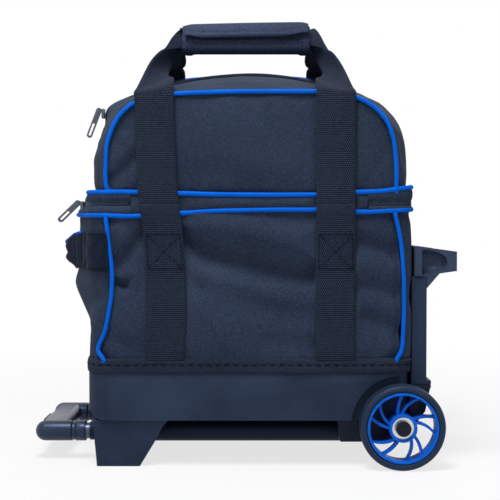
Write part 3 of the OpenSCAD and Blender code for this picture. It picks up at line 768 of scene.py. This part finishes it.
def thread_row(name, path, outwards, pitch, length, thick, body=None, lift=0.0):
    """Stitches along path, each a plump little lozenge of thread half sunk in the cloth."""
    path, outwards = [Vector(p) for p in path], [Vector(o) for o in outwards]
    runs = [0.0]
    for a, b in zip(path, path[1:]):
        runs.append(runs[-1] + (b - a).length)
    spots, at, k = [], pitch / 2, 0
    while at < runs[-1]:
        while runs[k + 1] < at:
            k += 1
        share = (at - runs[k]) / (runs[k + 1] - runs[k])
        out = outwards[k].lerp(outwards[k + 1], share).normalized()
        along = (path[k + 1] - path[k]).normalized()
        spots.append((path[k].lerp(path[k + 1], share) + out * lift, along * length,
                      out * thick / 2, out.cross(along) * thick / 2))
        at += pitch
    rings = ((-0.5, 0.35), (-0.28, 1.0), (0.28, 1.0), (0.5, 0.35))
    return small_shapes(name, spots, rings, 6, body, thread)


binding_cloth = woven_cloth("polyester_binding_tape", "#1a202d", "#2f3749", 1.8, 0.7, 0.04)
thread = woven_cloth("bonded_polyester_thread", "#0c1018", "#1a202d", 1.0, 0.3, 0.02)
binding_start, binding_end = 2 * right_mid - bead_turn + 1, bead_turn + girth - 1
stitch_z, binding_wide = 121.5, 17.5


def binding_place(u):
    return binding_start + (binding_end - binding_start) * u


def binding_surface(u, v):
    s = binding_place(u)
    across = binding_wide * v
    wave = 0.45 * sin(s / 21) + 0.3 * sin(s / 8.3 + 1)
    z = tray_top - 1.2 + across + wave * v
    bow = 1.5 + 1.1 * sin(pi * min(1, v * 1.02)) ** 0.5 - 1.6 * v ** 6
    return body_point(s, z, bow - 0.7 * hill(z - stitch_z, 1.6)), (s, across)


dress(grid_piece("binding_tape", binding_surface, 420, 12), "chassis", binding_cloth,
      wall=1.2, nodes=("binding_strip",))
places = [binding_place(k / 400) for k in range(401)]
thread_row("binding_stitches", [body_point(s, stitch_z, 1.95) for s in places],
           [outward(s) for s in places], pitch=10.7, length=7.2, thick=1.9,
           body="chassis", lift=0.1)


# ---- Zipped band --------------------------------------------------------------------------------
# Between the two blue beads a band of the same cloth holds the coil zip that opens the lid. At the
# front the band has no zip and is the lid's cloth hinge.

hinge_left, hinge_right, coil_gap = -131, 147, 2.6
upper_line = [(-163, 326.5), (-131, 326.2), (-80, 325.0), (-20, 323.3), (90, 323.3), (130, 326.0),
              (165, 327.5), (190, 331.0), (216, 333.0)]


def upper_bead_z(s):
    return float(between(upper_line, s)) - 1.5 if s <= bead_turn else round_back(s, 331.5, 7.0)


def tape_profile(bead_z, side, v):
    """Height and reach of a zip's cloth: a puffed roll from the bead, then flat behind the coil."""
    lip = zip_z + side * coil_gap
    if v < 0.8:
        w = v / 0.8
        return bead_z + (lip - bead_z) * w, -0.6 + 3.0 * sin(pi * (0.08 + 0.86 * w)) ** 0.8
    w = (v - 0.8) / 0.2
    return lip - side * (coil_gap - 0.1) * w, -0.2 - 1.7 * min(1, 4 * w)


def zip_tape(bead_z, side):
    """The cloth between a bead and the coil, below the zip for side -1 and above it for side 1."""
    def surface(u, v):
        s = hinge_right + (girth + hinge_left - hinge_right) * u
        z, out = tape_profile(bead_z(s), side, v)
        return body_point(s, z, out), (s, z)
    return surface


def hinge_cloth(u, v):
    s = hinge_left + (hinge_right - hinge_left) * u
    low_z, high_z = lower_bead_z(s), upper_bead_z(s)
    z = low_z + (high_z - low_z) * v
    crown = 4.5 * sin(pi * v) * (1.2 - 0.75 * v)
    crown += 0.4 * sin(s / 13 + 4 * v) * sin(pi * v)
    return body_point(s, z, min(crown - 0.6, under_strap(s) + 1.0)), (s, z)


dress(grid_piece("zip_cloth_lower", zip_tape(lower_bead_z, -1), 360, 20), "chassis", shell_cloth,
      wall=1.4, nodes=("zip_band_lower",))
dress(grid_piece("zip_cloth_upper", zip_tape(upper_bead_z, 1), 360, 20, flip=True), "lid",
      lid_cloth_painted_shade, wall=1.4)
hinge = dress(grid_piece("lid_hinge_cloth", hinge_cloth, 120, 16), None, lid_cloth_painted_shade,
              wall=1.2)
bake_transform(hinge)


def band_top(u, v):
    s = front_start + girth * u
    high_z = upper_bead_z(s)
    return body_point(s, high_z + 0.4 - 1.2 * v, 0.2 - 23 * v), (s, high_z + 24 * v)


dress(grid_piece("band_top_cloth", band_top, 300, 6), "lid", lid_cloth_painted_shade, wall=1.2,
      nodes=("zip_band_upper",))
dress(bead("band_bead_upper", band_line(upper_bead_z, 0.5), band_bead_r, closed=True), "lid",
      piping_blue, nodes=("band_piping_upper",))

coil = moulded_plastic("nylon_zip_coil", "#2a3342", "#4a566b", 0.6, 0.35, 0.2)


def coil_row(name, point, out_of, start, end, pitch, side, body):
    """One side of a zip's coil, of plump nylon loops: 1 is above the meeting line, -1 below."""
    spots = []
    for k in range(int((end - start) / pitch)):
        s = start + (k + 0.25 * (1 + side)) * pitch
        out = Vector(out_of(s)).normalized()
        along = (Vector(point(s + 0.5)) - Vector(point(s - 0.5))).normalized()
        up = out.cross(along)
        if up.z < -0.5:
            up = -up
        spots.append((Vector(point(s)), up * side, out * 1.1, along * 0.8))
    rings = ((-0.3, 0.75), (0.6, 1.0), (2.6, 1.0), (3.4, 0.6))
    return small_shapes(name, spots, rings, 5, body, coil)


def zip_line(s):
    return body_point(s, zip_z, -0.3)


for name, side, body in (("zip_coil_lower", -1, "chassis"), ("zip_coil_upper", 1, "lid")):
    coil_row(name, zip_line, outward, hinge_right, girth + hinge_left, 2.8, side, body)


# ---- Straps -------------------------------------------------------------------------------------
# Two loops of 46 mm polypropylene webbing run up the front and the back. They are sewn flat to the
# panels, crossed with a box stitch below the band, and free above it.

def webbing(name, dark, light, relief):
    """Heavy webbing: ribs of thread across the strap, each row half a rib off the last."""
    made, tree, shader = finish(name, Roughness=0.7, Sheen_Weight=0.02, Specular_IOR_Level=0.06)
    place = add(tree, "UVMap")
    ribs = add(tree, "TexBrick", {"offset": 0.5, "Scale": 500.0, "Brick Width": 1.25,
                                  "Row Height": 1.2, "Mortar Size": 0.26, "Mortar Smooth": 0.8,
                                  "Color1": (0.7, 0.7, 0.7, 1), "Color2": (1, 1, 1, 1),
                                  "Mortar": (0, 0, 0, 1)}, {"Vector": place})
    spot, cloud = clouds(tree, 30.0, 4.0)
    both = add(tree, "Mix", {"data_type": "RGBA", 0: 0.8}, {6: (cloud, "Fac"), 7: (ribs, "Color")})
    spread = add(tree, "MapRange", {"From Min": 0.2, "From Max": 0.8}, {"Value": (both, 2)})
    connect(tree, shader, dark, light, spread, (ribs, "Color"), relief, 0.6)
    return made


webbing_navy = webbing("polypropylene_webbing_navy", "#03050b", "#333e54", 1.0)
strap_t, strap_low = 2.6, 125
strap_left_edge = [(116, -114.0), (130, -114.2), (197, -112.2), (276, -116.3), (326, -122.3),
                   (380, -124.5), (437, -126.4), (446, -127)]
strap_right_edge = [(116, 85.5), (276, 86.0), (446, 86.0)]
strap_front = [(124, 119.2), (128, 119.8), (134, 121.2), (140, 121.2), (280, 121.2), (296, 122.6),
               (302, 123.4), (312, 122.9), (324, 122.9), (340, 122.2), (446, 122.3)]


def strap_surface(edge, side, low_z, high_z, wave):
    def surface(u, v):
        z = low_z + (high_z - low_z) * v
        x = float(between(edge, z)) + strap_w * (u if side < 0 else 1 - u)
        crown = 0.35 * sin(pi * u) + 0.25 * sin(z / 23 + wave) * (u - 0.5)
        y = side * (float(between(strap_front, z)) + crown)
        return (x, y, z), (strap_w * u, z)
    return surface


def webbed(name, surface, across, along):
    """A part of a strap, given its thickness."""
    return dress(grid_piece(name, surface, across, along), None, webbing_navy,
                 wall=strap_t)


def both_straps(side, low_z, high_z, wave=0):
    """The flat part of both straps, on the front for side -1 and on the back for side 1."""
    return [webbed("strap_part", strap_surface(edge, side, low_z, high_z, wave + index), 12, 60)
            for index, edge in enumerate((strap_left_edge, strap_right_edge))]


sewn_front = join("sewn_webbing_front", both_straps(-1, strap_low, zip_z - 0.1))
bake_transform(sewn_front)
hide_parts("sewn_straps_front")
sewn_rear = join("sewn_webbing_rear", both_straps(1, strap_low, zip_z - 0.1))
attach(sewn_rear, "chassis")
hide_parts("sewn_straps_rear")

box_low, box_high, box_in = 234.5, 275, 3.2


box_threads = []
a, b = box_in, strap_w - box_in
for side in (-1, 1):
    for edge in (strap_left_edge, strap_right_edge):
        for start, end in (((a, box_low), (b, box_low)), ((a, box_high), (b, box_high)),
                           ((a, box_low), (a, box_high)), ((b, box_low), (b, box_high)),
                           ((a, box_low), (b, box_high)), ((a, box_high), (b, box_low))):
            line = [(float(between(edge, z)) + x, side * (float(between(strap_front, z)) + 0.3), z)
                    for x, z in np.linspace(start, end, 13)]
            box_threads.append(thread_row("box_thread", line, [(0, side, 0)] * len(line), pitch=3.4,
                                          length=2.9, thick=1.3, lift=0.1))
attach(join("strap_box_stitches", box_threads), "chassis")


# ---- Side handle --------------------------------------------------------------------------------
# A grab loop of folded webbing on the left side. Its ends are flat tabs sewn round the corners with
# crossed stitching, and a blue bead trims the loop's upper edge.

loop_low, loop_high, loop_half = 234, 277, 66
loop_roll = [(0, 15), (0.1, 11.5), (0.22, 4.5), (0.36, 0.4), (0.52, 2.8), (0.68, 0.2), (0.82, 1.4),
             (0.92, 4.5), (1, 9.5)]


def loop_lean(y):
    """1 where the loop's upper edge sags out from its bead, easing to 0 to either side."""
    return hill(y - 22, 24)


def side_loop(u, v):
    """The loop stands off the swollen side, and its upper edge leans out towards the back."""
    y = loop_half * (1 - 2 * u)
    slack = cos(pi / 2 * y / loop_half)
    lean = loop_lean(y)
    z = loop_low - 3.5 * slack + (loop_high - loop_low - slack * (1.5 + 10 * lean)) * v
    x = bag_left - 3.4 - float(between(left_swell, 255)) * arch(y, 95) - 15.5 * slack ** 0.8
    x += float(between(loop_roll, v)) * slack * (1 - 1.1 * lean * v)
    x += 0.9 * sin(y / 1.5) * slack * (1 - slack) * 4 * (1 - lean)
    return (x, y, z), (2 * loop_half * u, (loop_high - loop_low) * v)


loop_cloth = webbing("polypropylene_webbing_grab_loop", "#080c16", "#1e2840", 0.45)
dress(grid_piece("side_loop", side_loop, 130, 24), "chassis", loop_cloth, wall=3.6,
      nodes=("side_handle_band",))


def side_tab(side):
    def surface(u, v):
        near, far = place_of(-157.4), front_start - corner_arc - 29
        s = far + (near - far) * u
        if side > 0:
            s = 2 * right_mid - s
        z = loop_low - 2 + (loop_high - loop_low + 3) * v
        return body_point(s, z, 2.6 + 0.4 * sin(pi * v)), (s, z)
    return surface


tabs = []
for side in (-1, 1):
    tabs.append(dress(grid_piece("tab", side_tab(side), 36, 16, flip=side > 0), None, loop_cloth,
                      wall=2.2))
tab_piece = join("side_tabs", tabs)
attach(tab_piece, "chassis")
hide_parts("side_handle_tabs")
edge_path = []
for k in range(61):
    x, y, z = side_loop(k / 60, 1)[0]
    edge_path.append((x + 1.8 - 6.0 * loop_lean(y), y, z + 0.4))
dress(bead("side_loop_bead", edge_path, 2.0), "chassis", piping_blue)

tab_threads = []
for side in (-1, 1):
    for start, end in (((0.1, 0.06), (0.95, 0.06)), ((0.1, 0.94), (0.95, 0.94)),
                       ((0.36, 0.06), (0.95, 0.94)), ((0.36, 0.94), (0.95, 0.06)),
                       ((0.36, 0.06), (0.36, 0.94)), ((0.28, 0.02), (0.28, 0.98)),
                       ((0.1, 0.02), (0.1, 0.98)), ((0.95, 0.06), (0.95, 0.94))):
        spots = [side_tab(side)(u, v)[1] for u, v in np.linspace(start, end, 15)]
        tab_threads.append(thread_row("tab_thread", [body_point(s, z, 3.1) for s, z in spots],
                                      [outward(s) for s, z in spots], pitch=3.2, length=2.6,
                                      thick=0.8))
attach(join("side_tab_stitches", tab_threads), "chassis")


# ---- Shoe compartment ---------------------------------------------------------------------------
# The lid is a padded arch of the same cloth, in a copy painted a touch darker as painted shade.
# Its front and back panels are edged in blue piping, and a gusset runs over the top between them,
# split along its crown by the compartment's zip.

lid_y = 116
arch_front = [(-157, 323), (-160, 334), (-160.7, 347), (-160.3, 360), (-158.8, 381), (-153.3, 398),
              (-143.8, 415), (-128.3, 428), (-107, 435.5), (-82, 439.5), (-40, 441.5), (4, 442.4),
              (50, 442.6), (87, 442.4), (112, 440.5), (131.8, 436), (148, 428.5), (161, 418),
              (171.3, 403), (177.3, 383), (179.6, 362), (180.3, 347), (180.2, 334), (180, 323)]
arch_mid = [(-183, 325), (-185, 336), (-187, 352), (-186, 368), (-181.5, 384), (-175, 400),
            (-170.5, 415), (-163.5, 430), (-142, 446), (-103, 460), (-56, 471), (4, 476.4),
            (52, 473.5), (92, 465), (120, 457.5), (144, 451), (163, 441), (179, 429.5),
            (192, 413), (199.5, 392), (203, 370), (204, 352), (203.5, 337), (202, 325)]
arch_back = [(-157, 323), (-160, 336), (-160.7, 352), (-160.5, 372), (-159, 396), (-155, 421),
             (-147, 444), (-133, 463), (-112, 477), (-84, 485), (-42, 488.5), (4, 489.5),
             (50, 489), (87, 486.5), (112, 481), (133, 471), (150, 458), (163, 443),
             (172.5, 424), (177.8, 398), (179.8, 374), (180.4, 352), (180.3, 337), (180, 323)]
lid_crown_y = 4
arch_long = 720
top_zip_y, zip_start, zip_end = -6, 0.25, 0.8


def along_arch(points, t):
    table = [(k / (len(points) - 1), p) for k, p in enumerate(points)]
    return between(table, t)


def lid_point(t, y, out=0.0):
    """A point on the lid's gusset: t along the arch from the left foot to the right one."""
    panel, reach = (arch_front, -lid_y) if y <= lid_crown_y else (arch_back, lid_y)
    share = (y - reach) / (lid_crown_y - reach)
    puff = sin(share * pi / 2) ** 0.9
    edge, crown = along_arch(panel, t), along_arch(arch_mid, t)
    spot = edge + (crown - edge) * np.array([puff, 0.35 * puff + 0.65 * share])
    if out:
        step = 0.004
        before, after = lid_point(max(0, t - step), y), lid_point(min(1, t + step), y)
        dx, dz = after[0] - before[0], after[2] - before[2]
        size = math.hypot(dx, dz) or 1
        spot = spot + np.array([-dz, dx]) / size * out
    return float(spot[0]), y, float(spot[1])


def zip_lift(t):
    """How far the zip stands off the gusset: it is drawn out where the slider rests."""
    return 0.8 + 5.5 * hill(t - 0.3, 0.035)


gusset_folds = ((-1.8, (30, -90, 44, 20, 14)), (-1.4, (362, -80, 350, 30, 12)))
fold_run = 400


def gusset_relief(t, y):
    """Seams at both edges, a groove along each side of the zip, and the folds at the feet."""
    deep = -1.0 * hill(y + lid_y, 8) - 1.0 * hill(y - lid_y, 8)
    deep -= 0.9 * hill(abs(y - top_zip_y) - 7, 3)
    deep += folds(gusset_folds, t * fold_run, y)
    deep += (zip_lift(t) - 0.8) * hill(y - top_zip_y, 18)
    return deep + 0.5 * sin(t * 61) * hill(y + lid_y, 16)


def lid_gusset_surface(u, v):
    y = -lid_y + 2 * lid_y * v
    return lid_point(u, y, gusset_relief(u, y)), (arch_long * u, y)


gusset = grid_piece("lid_gusset_cloth", lid_gusset_surface, 150, 44, flip=True)
settle(gusset, 151, 1.0, 0.008, 3.0)
dress(gusset, "lid", lid_cloth_painted_shade, wall=2.2, rounds=1, nodes=("lid_gusset",))

lid_panel_folds = (
    (-1.6, (-60, 345, 60, 336, 12)), (-4.5, (-158, 336, -128, 362, 9)),
    (2.2, (-150, 352, -132, 376, 9)), (-1.2, (150, 340, 172, 380, 12)),
    (-1.0, (-150, 392, -140, 410, 9)), (0.7, (-50, 395, 60, 400, 30)))


def lid_panel(points, y, side):
    """A front or back panel inside its arch, blended from its four edges."""
    corner_a, corner_b = 7 / 23, 17 / 23

    def surface(u, v):
        bottom = np.array([points[0][0] + (points[-1][0] - points[0][0]) * u, points[0][1]])
        top = along_arch(points, corner_a + (corner_b - corner_a) * u)
        left = along_arch(points, corner_a * v)
        right = along_arch(points, 1 - (1 - corner_b) * v)
        c00, c10 = np.array(points[0], float), np.array(points[-1], float)
        c01, c11 = along_arch(points, corner_a), along_arch(points, corner_b)
        spot = ((1 - v) * bottom + v * top + (1 - u) * left + u * right
                - (1 - u) * (1 - v) * c00 - u * (1 - v) * c10 - (1 - u) * v * c01 - u * v * c11)
        x, z = float(spot[0]), float(spot[1])
        deep = -1.6 * hill(min(u, 1 - u, v, 1 - v), 0.035) + 1.4 * sin(pi * u) * sin(pi * v)
        # the cloth puffs out most between the straps
        deep += 5.0 * sin(pi * clamp((x + 80) / 166)) * sin(pi * v) ** 0.8
        deep += folds(lid_panel_folds, x, z) + 0.3 * sin(x / 3.9) * hill(z - 325, 10)
        return (x, side * (y + deep), z), (x, z)
    return surface


for name, points, side, node in (("lid_front_cloth", arch_front, -1, "lid_front_panel"),
                                 ("lid_back_cloth", arch_back, 1, "lid_back_panel")):
    panel = grid_piece(name, lid_panel(points, lid_y, side), 80, 34, flip=side > 0)
    settle(panel, 81, 1.0, 0.008, 3.0)
    dress(panel, "lid", lid_cloth_painted_shade, wall=2.2, rounds=1, nodes=(node,))

arch_beads = []
for side, points in ((-1, arch_front), (1, arch_back)):
    line = [along_arch(points, k / 160) for k in range(161)]
    arch_beads.append(bead("arch_bead", [(x, side * (lid_y + 1.2), z - 0.2) for x, z in line],
                           piping_r))
dress(join("lid_piping_beads", arch_beads), "lid", piping_blue, nodes=("lid_piping",))


def top_tape(u, v):
    t = zip_start + (zip_end - zip_start) * u
    y = top_zip_y - 8.5 + 17 * v
    roll = 1.9 * hill(abs(v - 0.5) - 0.2, 0.12)
    return lid_point(t, y, zip_lift(t) + roll), (arch_long * t, y)


zip_tape_cloth = woven_cloth("polyester_zip_tape", "#131925", "#262e3d", 1.3, 0.6, 0.03)
dress(grid_piece("top_zip_tape", top_tape, 120, 20, flip=True), "lid", zip_tape_cloth,
      wall=1.0, nodes=("top_zip",))


def top_line(s):
    return lid_point(s / arch_long, top_zip_y, zip_lift(s / arch_long) + 1.2)


def top_out(s):
    a, b = lid_point(s / arch_long, top_zip_y, 0.0), lid_point(s / arch_long, top_zip_y, 3.0)
    return [q - p for p, q in zip(a, b)]


for side, name in ((-1, "top_coil_front"), (1, "top_coil_rear")):
    coil_row(name, top_line, top_out, arch_long * zip_start, arch_long * zip_end, 1.9, side, "lid")

lining = woven_cloth("polyester_lining_black", "#10141d", "#1b202b", 1.2, 0.3, 0.02)
rounded_copy("lid_floor_board", "lid_floor", "lid", 1.2, lining, whole=False)


# ---- Ball cup -----------------------------------------------------------------------------------
# A ring of closed-cell foam is glued to the foam-faced base board, and dished on top so that the
# ball cannot roll. Its rims are soft and rounded, and its cut faces are a little uneven.

foam = moulded_plastic("foam_closed_cell_black", "#14161b", "#1d2026", 1.2, 0.9, 0.4)
paint(foam, "base_board")
cup_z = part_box("ball_cup")[0][2] / MM
# Along the section, the radius and the height over the board: out below, up, over and down inside
cup_section = [(0, (31, 0.2)), (0.1, (60, 0)), (0.2, (88, 0.2)), (0.26, (89.8, 3)),
               (0.4, (89.8, 22)), (0.5, (89.2, 29)), (0.56, (87, 31.2)), (0.62, (83.5, 29.5)),
               (0.7, (74, 28)), (0.78, (60, 18)), (0.88, (45, 10.5)), (0.93, (34, 7)),
               (0.965, (30.6, 5)), (1.0, (31, 0.2))]


def cup_surface(u, v):
    around = 2 * pi * u
    r, height = between(cup_section, v)
    cut_r = r + 0.3 * sin(5 * around + 9 * v) * sin(pi * v)
    return (cut_r * cos(around), cut_r * sin(around), cup_z + height), (r * around, 300 * v)


cup = grid_piece("foam_cup", cup_surface, 96, 48)
face_outward(cup, merge=0.05)
dress(cup, "chassis", foam, nodes=("ball_cup",))


# ---- Zip sliders and pulls ----------------------------------------------------------------------
# Die-cast zinc sliders plated in gunmetal, two on the band's zip and one on the compartment's.
# Each has a flat slotted pull that swings on its pin.

gunmetal = metal("zinc_alloy_gunmetal", "#3d434e", "#666d79", 0.32)
for node, body in (("mid_slider_front", "chassis"), ("mid_slider_rear", "chassis"),
                   ("top_slider", "lid"), ("mid_pull_front", "front_zip_pull"),
                   ("mid_pull_rear", "rear_zip_pull"), ("top_pull", "top_zip_pull")):
    rounded_copy(node + "_cast", node, body, 0.5, gunmetal, 2, whole=False)


# ---- Carrying loops -----------------------------------------------------------------------------
# Above the band each strap is free. It folds back over the edge of the lid, twists as it rises, and
# turns level at a fold to run through the padded wrap.

def ribbon(name, edges, along=60, hollow=0.0):
    """Webbing laid between two edge lines, given as (first edge, second edge) point pairs."""
    table = [(k / (len(edges) - 1), list(a) + list(b)) for k, (a, b) in enumerate(edges)]
    runs, last = [0.0], None
    for k in range(along + 1):
        now = between(table, k / along)
        middle = (now[:3] + now[3:]) / 2
        if last is not None:
            runs.append(runs[-1] + float(np.linalg.norm(middle - last)))
        last = middle

    def surface(u, v):
        now = between(table, v)
        a, b = now[:3], now[3:]
        spot = a + (b - a) * u
        if hollow:
            ahead = between(table, min(1, v + 0.02)) - between(table, max(0, v - 0.02))
            up = (ahead[:3] + ahead[3:]) / 2
            face = np.cross(b - a, up)
            size = np.linalg.norm(face) or 1.0
            spot = spot - face / size * hollow * sin(pi * u) * sin(pi * v) ** 2
        return tuple(spot), (strap_w * u, strap_run + runs[round(v * along)])
    return webbed(name, surface, 10, along)


strap_run = 446
leg_low, front_leg_top, rear_leg_top = zip_z + 0.15, 436, 484

# Front loop: legs, fold over the lid's edge, twisted rise, and the flat fold at the wrap
front_parts = both_straps(-1, leg_low, front_leg_top)
left_rise = [
    ((-126.3, -122.4, 436), (-80.3, -122.4, 436)),
    ((-126.8, -121.5, 441), (-81.0, -119.0, 450)),
    ((-124.5, -113.0, 447), (-82.5, -103.0, 459.5)),
    ((-121.0, -99.0, 458), (-84.5, -82.0, 464)),
    ((-116.0, -76.0, 473), (-90.0, -56.0, 468)),
    ((-110.0, -52.0, 489), (-93.0, -26.0, 476)),
    ((-103.5, -36.0, 500), (-87.0, -8.0, 491)),
    ((-98.0, -27.0, 507), (-79.0, -14.0, 507))]
left_fold = [
    ((-99.5, -26.0, 504.5), (-75.5, -18.5, 508.5)),
    ((-95.0, -22.5, 512), (-72.5, -16.0, 516)),
    ((-88.5, -16.5, 523.5), (-69.0, -10.0, 525)),
    ((-79.5, -8.0, 533.5), (-64.0, 2.0, 530)),
    ((-70.0, 6.0, 534.5), (-60.0, 14.0, 529))]
right_rise = [
    ((86.0, -122.4, 436), (132.0, -122.4, 436)),
    ((86.2, -119.5, 448), (132.2, -121.6, 442)),
    ((86.5, -104.0, 458.5), (129.5, -113.0, 448)),
    ((89.0, -83.0, 463), (126.0, -99.0, 459)),
    ((95.5, -57.0, 468), (121.0, -76.0, 474)),
    ((98.5, -27.0, 478), (114.5, -52.0, 490)),
    ((91.5, -8.0, 494), (108.0, -36.0, 501.5)),
    ((84.0, -14.0, 511), (105.0, -27.0, 506))]
right_fold = [
    ((82.5, -19.0, 512), (107.0, -26.0, 504.5)),
    ((82.5, -18.0, 519), (102.5, -22.5, 513)),
    ((82.0, -13.0, 529), (97.0, -16.5, 525)),
    ((80.0, 2.0, 534), (90.5, -8.0, 534.5)),
    ((75.0, 14.0, 532.5), (82.0, 6.0, 534.5))]
front_strand = [((-80, -13, 532), (-80, 13, 532)), ((2, -13, 531.5), (2, 13, 531.5)),
                ((84, -13, 532), (84, 13, 532))]
for rise, fold in ((left_rise, left_fold), (right_rise, right_fold)):
    front_parts += [ribbon("rise", rise, hollow=5.0), ribbon("fold", fold, along=24)]
front_parts.append(ribbon("strand", front_strand, along=30))
front_loop = join("front_loop_strap", front_parts)
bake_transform(front_loop)
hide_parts("front_loop_webbing")

# Rear loop: the same, kept low so that it lies under the front loop's strand
rear_parts = both_straps(1, leg_low, rear_leg_top, wave=2)
for side, outer, inner in ((-1, -127.0, -81.0), (1, 132.2, 86.2)):
    rise = [
        ((outer, 122.4, 484), (inner, 122.4, 484)),
        ((outer, 121.0, 491), (inner, 119.5, 492.5)),
        ((outer - side * 2, 110.0, 496), (inner, 106.0, 496.5)),
        ((outer - side * 6, 84.0, 500), (inner + side, 78.0, 498)),
        ((outer - side * 13, 58.0, 504), (inner - side * 5, 50.0, 499)),
        ((outer - side * 22, 38.0, 509), (inner - side * 6, 30.0, 504)),
        ((outer - side * 34, 24.0, 513.5), (inner - side * 4, 8.0, 511.5)),
        ((outer - side * 40, 20.0, 514.5), (inner - side, -4.0, 514.0))]
    if side < 0:
        rise = [(b, a) for a, b in rise]
    rear_parts.append(ribbon("rise", rise))
rear_strand = [((-86, -5, 515), (-86, 21, 515)), ((2, -5, 514.5), (2, 21, 514.5)),
               ((90, -5, 515), (90, 21, 515))]
rear_parts.append(ribbon("strand", rear_strand, along=30))
rear_loop = join("rear_loop_strap", rear_parts)
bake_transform(rear_loop)
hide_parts("rear_loop_webbing")


# ---- Handle wrap --------------------------------------------------------------------------------
# A padded sleeve of the shell cloth round the two strands, open to the rear, with a bound tab at
# each end. Its cloth is a copy painted lighter, as painted light from above. Its flap closes over
# the top and the front.

wrap_left, wrap_right = -76.5, 84
wrap_low, wrap_high = 502.5, 537.5
# The wrap's copy of the cloth is painted lighter: painted light, for the light falling on its top.
wrap_cloth_painted_light = woven_cloth("polyester_600d_woven_navy_wrap_painted_light", "#282f43", "#465069", 1.6, 0.6, 0.02)

# Round the sleeve, as depth and height: forward below, up the front and over to the rear
wrap_section = [(0, (-1.0, wrap_low + 0.3)), (0.12, (-9.0, wrap_low)),
                (0.2, (-16.2, wrap_low + 1.6)), (0.26, (-19.4, wrap_low + 5.5)),
                (0.34, (-20.4, wrap_low + 11)), (0.4, (-20.7, wrap_low + 15.5)),
                (0.44, (-18.6, wrap_low + 18)), (0.52, (-17.8, wrap_low + 25)),
                (0.6, (-16, wrap_high - 4)), (0.7, (-10, wrap_high - 0.6)), (0.8, (2, wrap_high)),
                (0.88, (13, wrap_high - 0.8)), (0.94, (18.6, wrap_high - 4.5)),
                (1.0, (19.8, wrap_high - 14))]
tab_edge, tab_row, tab_drop = 0.078, 0.062, 1.6


def wrap_surface(u, v):
    x = wrap_left + (wrap_right - wrap_left) * u
    y, z = between(wrap_section, v)
    end = min(u, 1 - u)
    # each end has a thick rim, and a thinner bound tab as far as tab_edge
    pinch = 1.5 * hill(end, 0.02) - tab_drop / (1 + math.exp((end - tab_edge) / 0.004))
    middle_z = (wrap_low + wrap_high) / 2
    size = math.hypot(y, z - middle_z)
    pull = (pinch + 0.5 * sin(x / 17) * sin(v * 5)) / size
    return (x, y - y * pull, z - (z - middle_z) * pull), (x, 95 * v)


sleeve = grid_piece("handle_sleeve", wrap_surface, 140, 44)
dress(sleeve, "front_loop", wrap_cloth_painted_light, wall=4.5, nodes=("handle_wrap",))
tab_rows = []
for u in (tab_row, 1 - tab_row):
    row = [wrap_surface(u, 0.2 + 0.2 * k / 10)[0] for k in range(11)]
    tab_rows.append(thread_row("wrap_row", row, [(0, -1, 0)] * len(row), pitch=3.6, length=2.6,
                               thick=1.0, lift=0.1))
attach(join("wrap_stitches", tab_rows), "front_loop")


# Across the flap, as depth and height: over the top from the rear, and down the front to its hem
flap_section = [(0, (17.5, 540.6)), (0.25, (6, 541.4)), (0.45, (-9, 541.0)), (0.57, (-17, 539.2)),
                (0.7, (-23.0, 533.8)), (0.84, (-26.2, 527.6)), (0.93, (-27.4, 523.4)),
                (1.0, (-26.0, 520.6))]
hem = 0.84


def flap_surface(u, v):
    x = wrap_left + 3.0 + (wrap_right - wrap_left - 5.0) * u
    curl = hill(u, 0.09) + 1.1 * hill(1 - u, 0.13)
    y, z = between(flap_section, v * (1 - 0.13 * curl))
    z += 0.7 * sin(pi * u) ** 0.5 * sin(pi * v) + 3.0 * (u - 0.55)
    z -= 1.6 * hill(min(u, 1 - u), 0.03) + 0.5 * hill(v - hem, 0.025)
    y += 0.7 * hill(v - hem, 0.025)
    return (x, y, z), (x, 62 * v)


dress(grid_piece("wrap_flap_cloth", flap_surface, 100, 40, flip=True), "flap", wrap_cloth_painted_light,
      wall=3.0, nodes=("wrap_flap",))
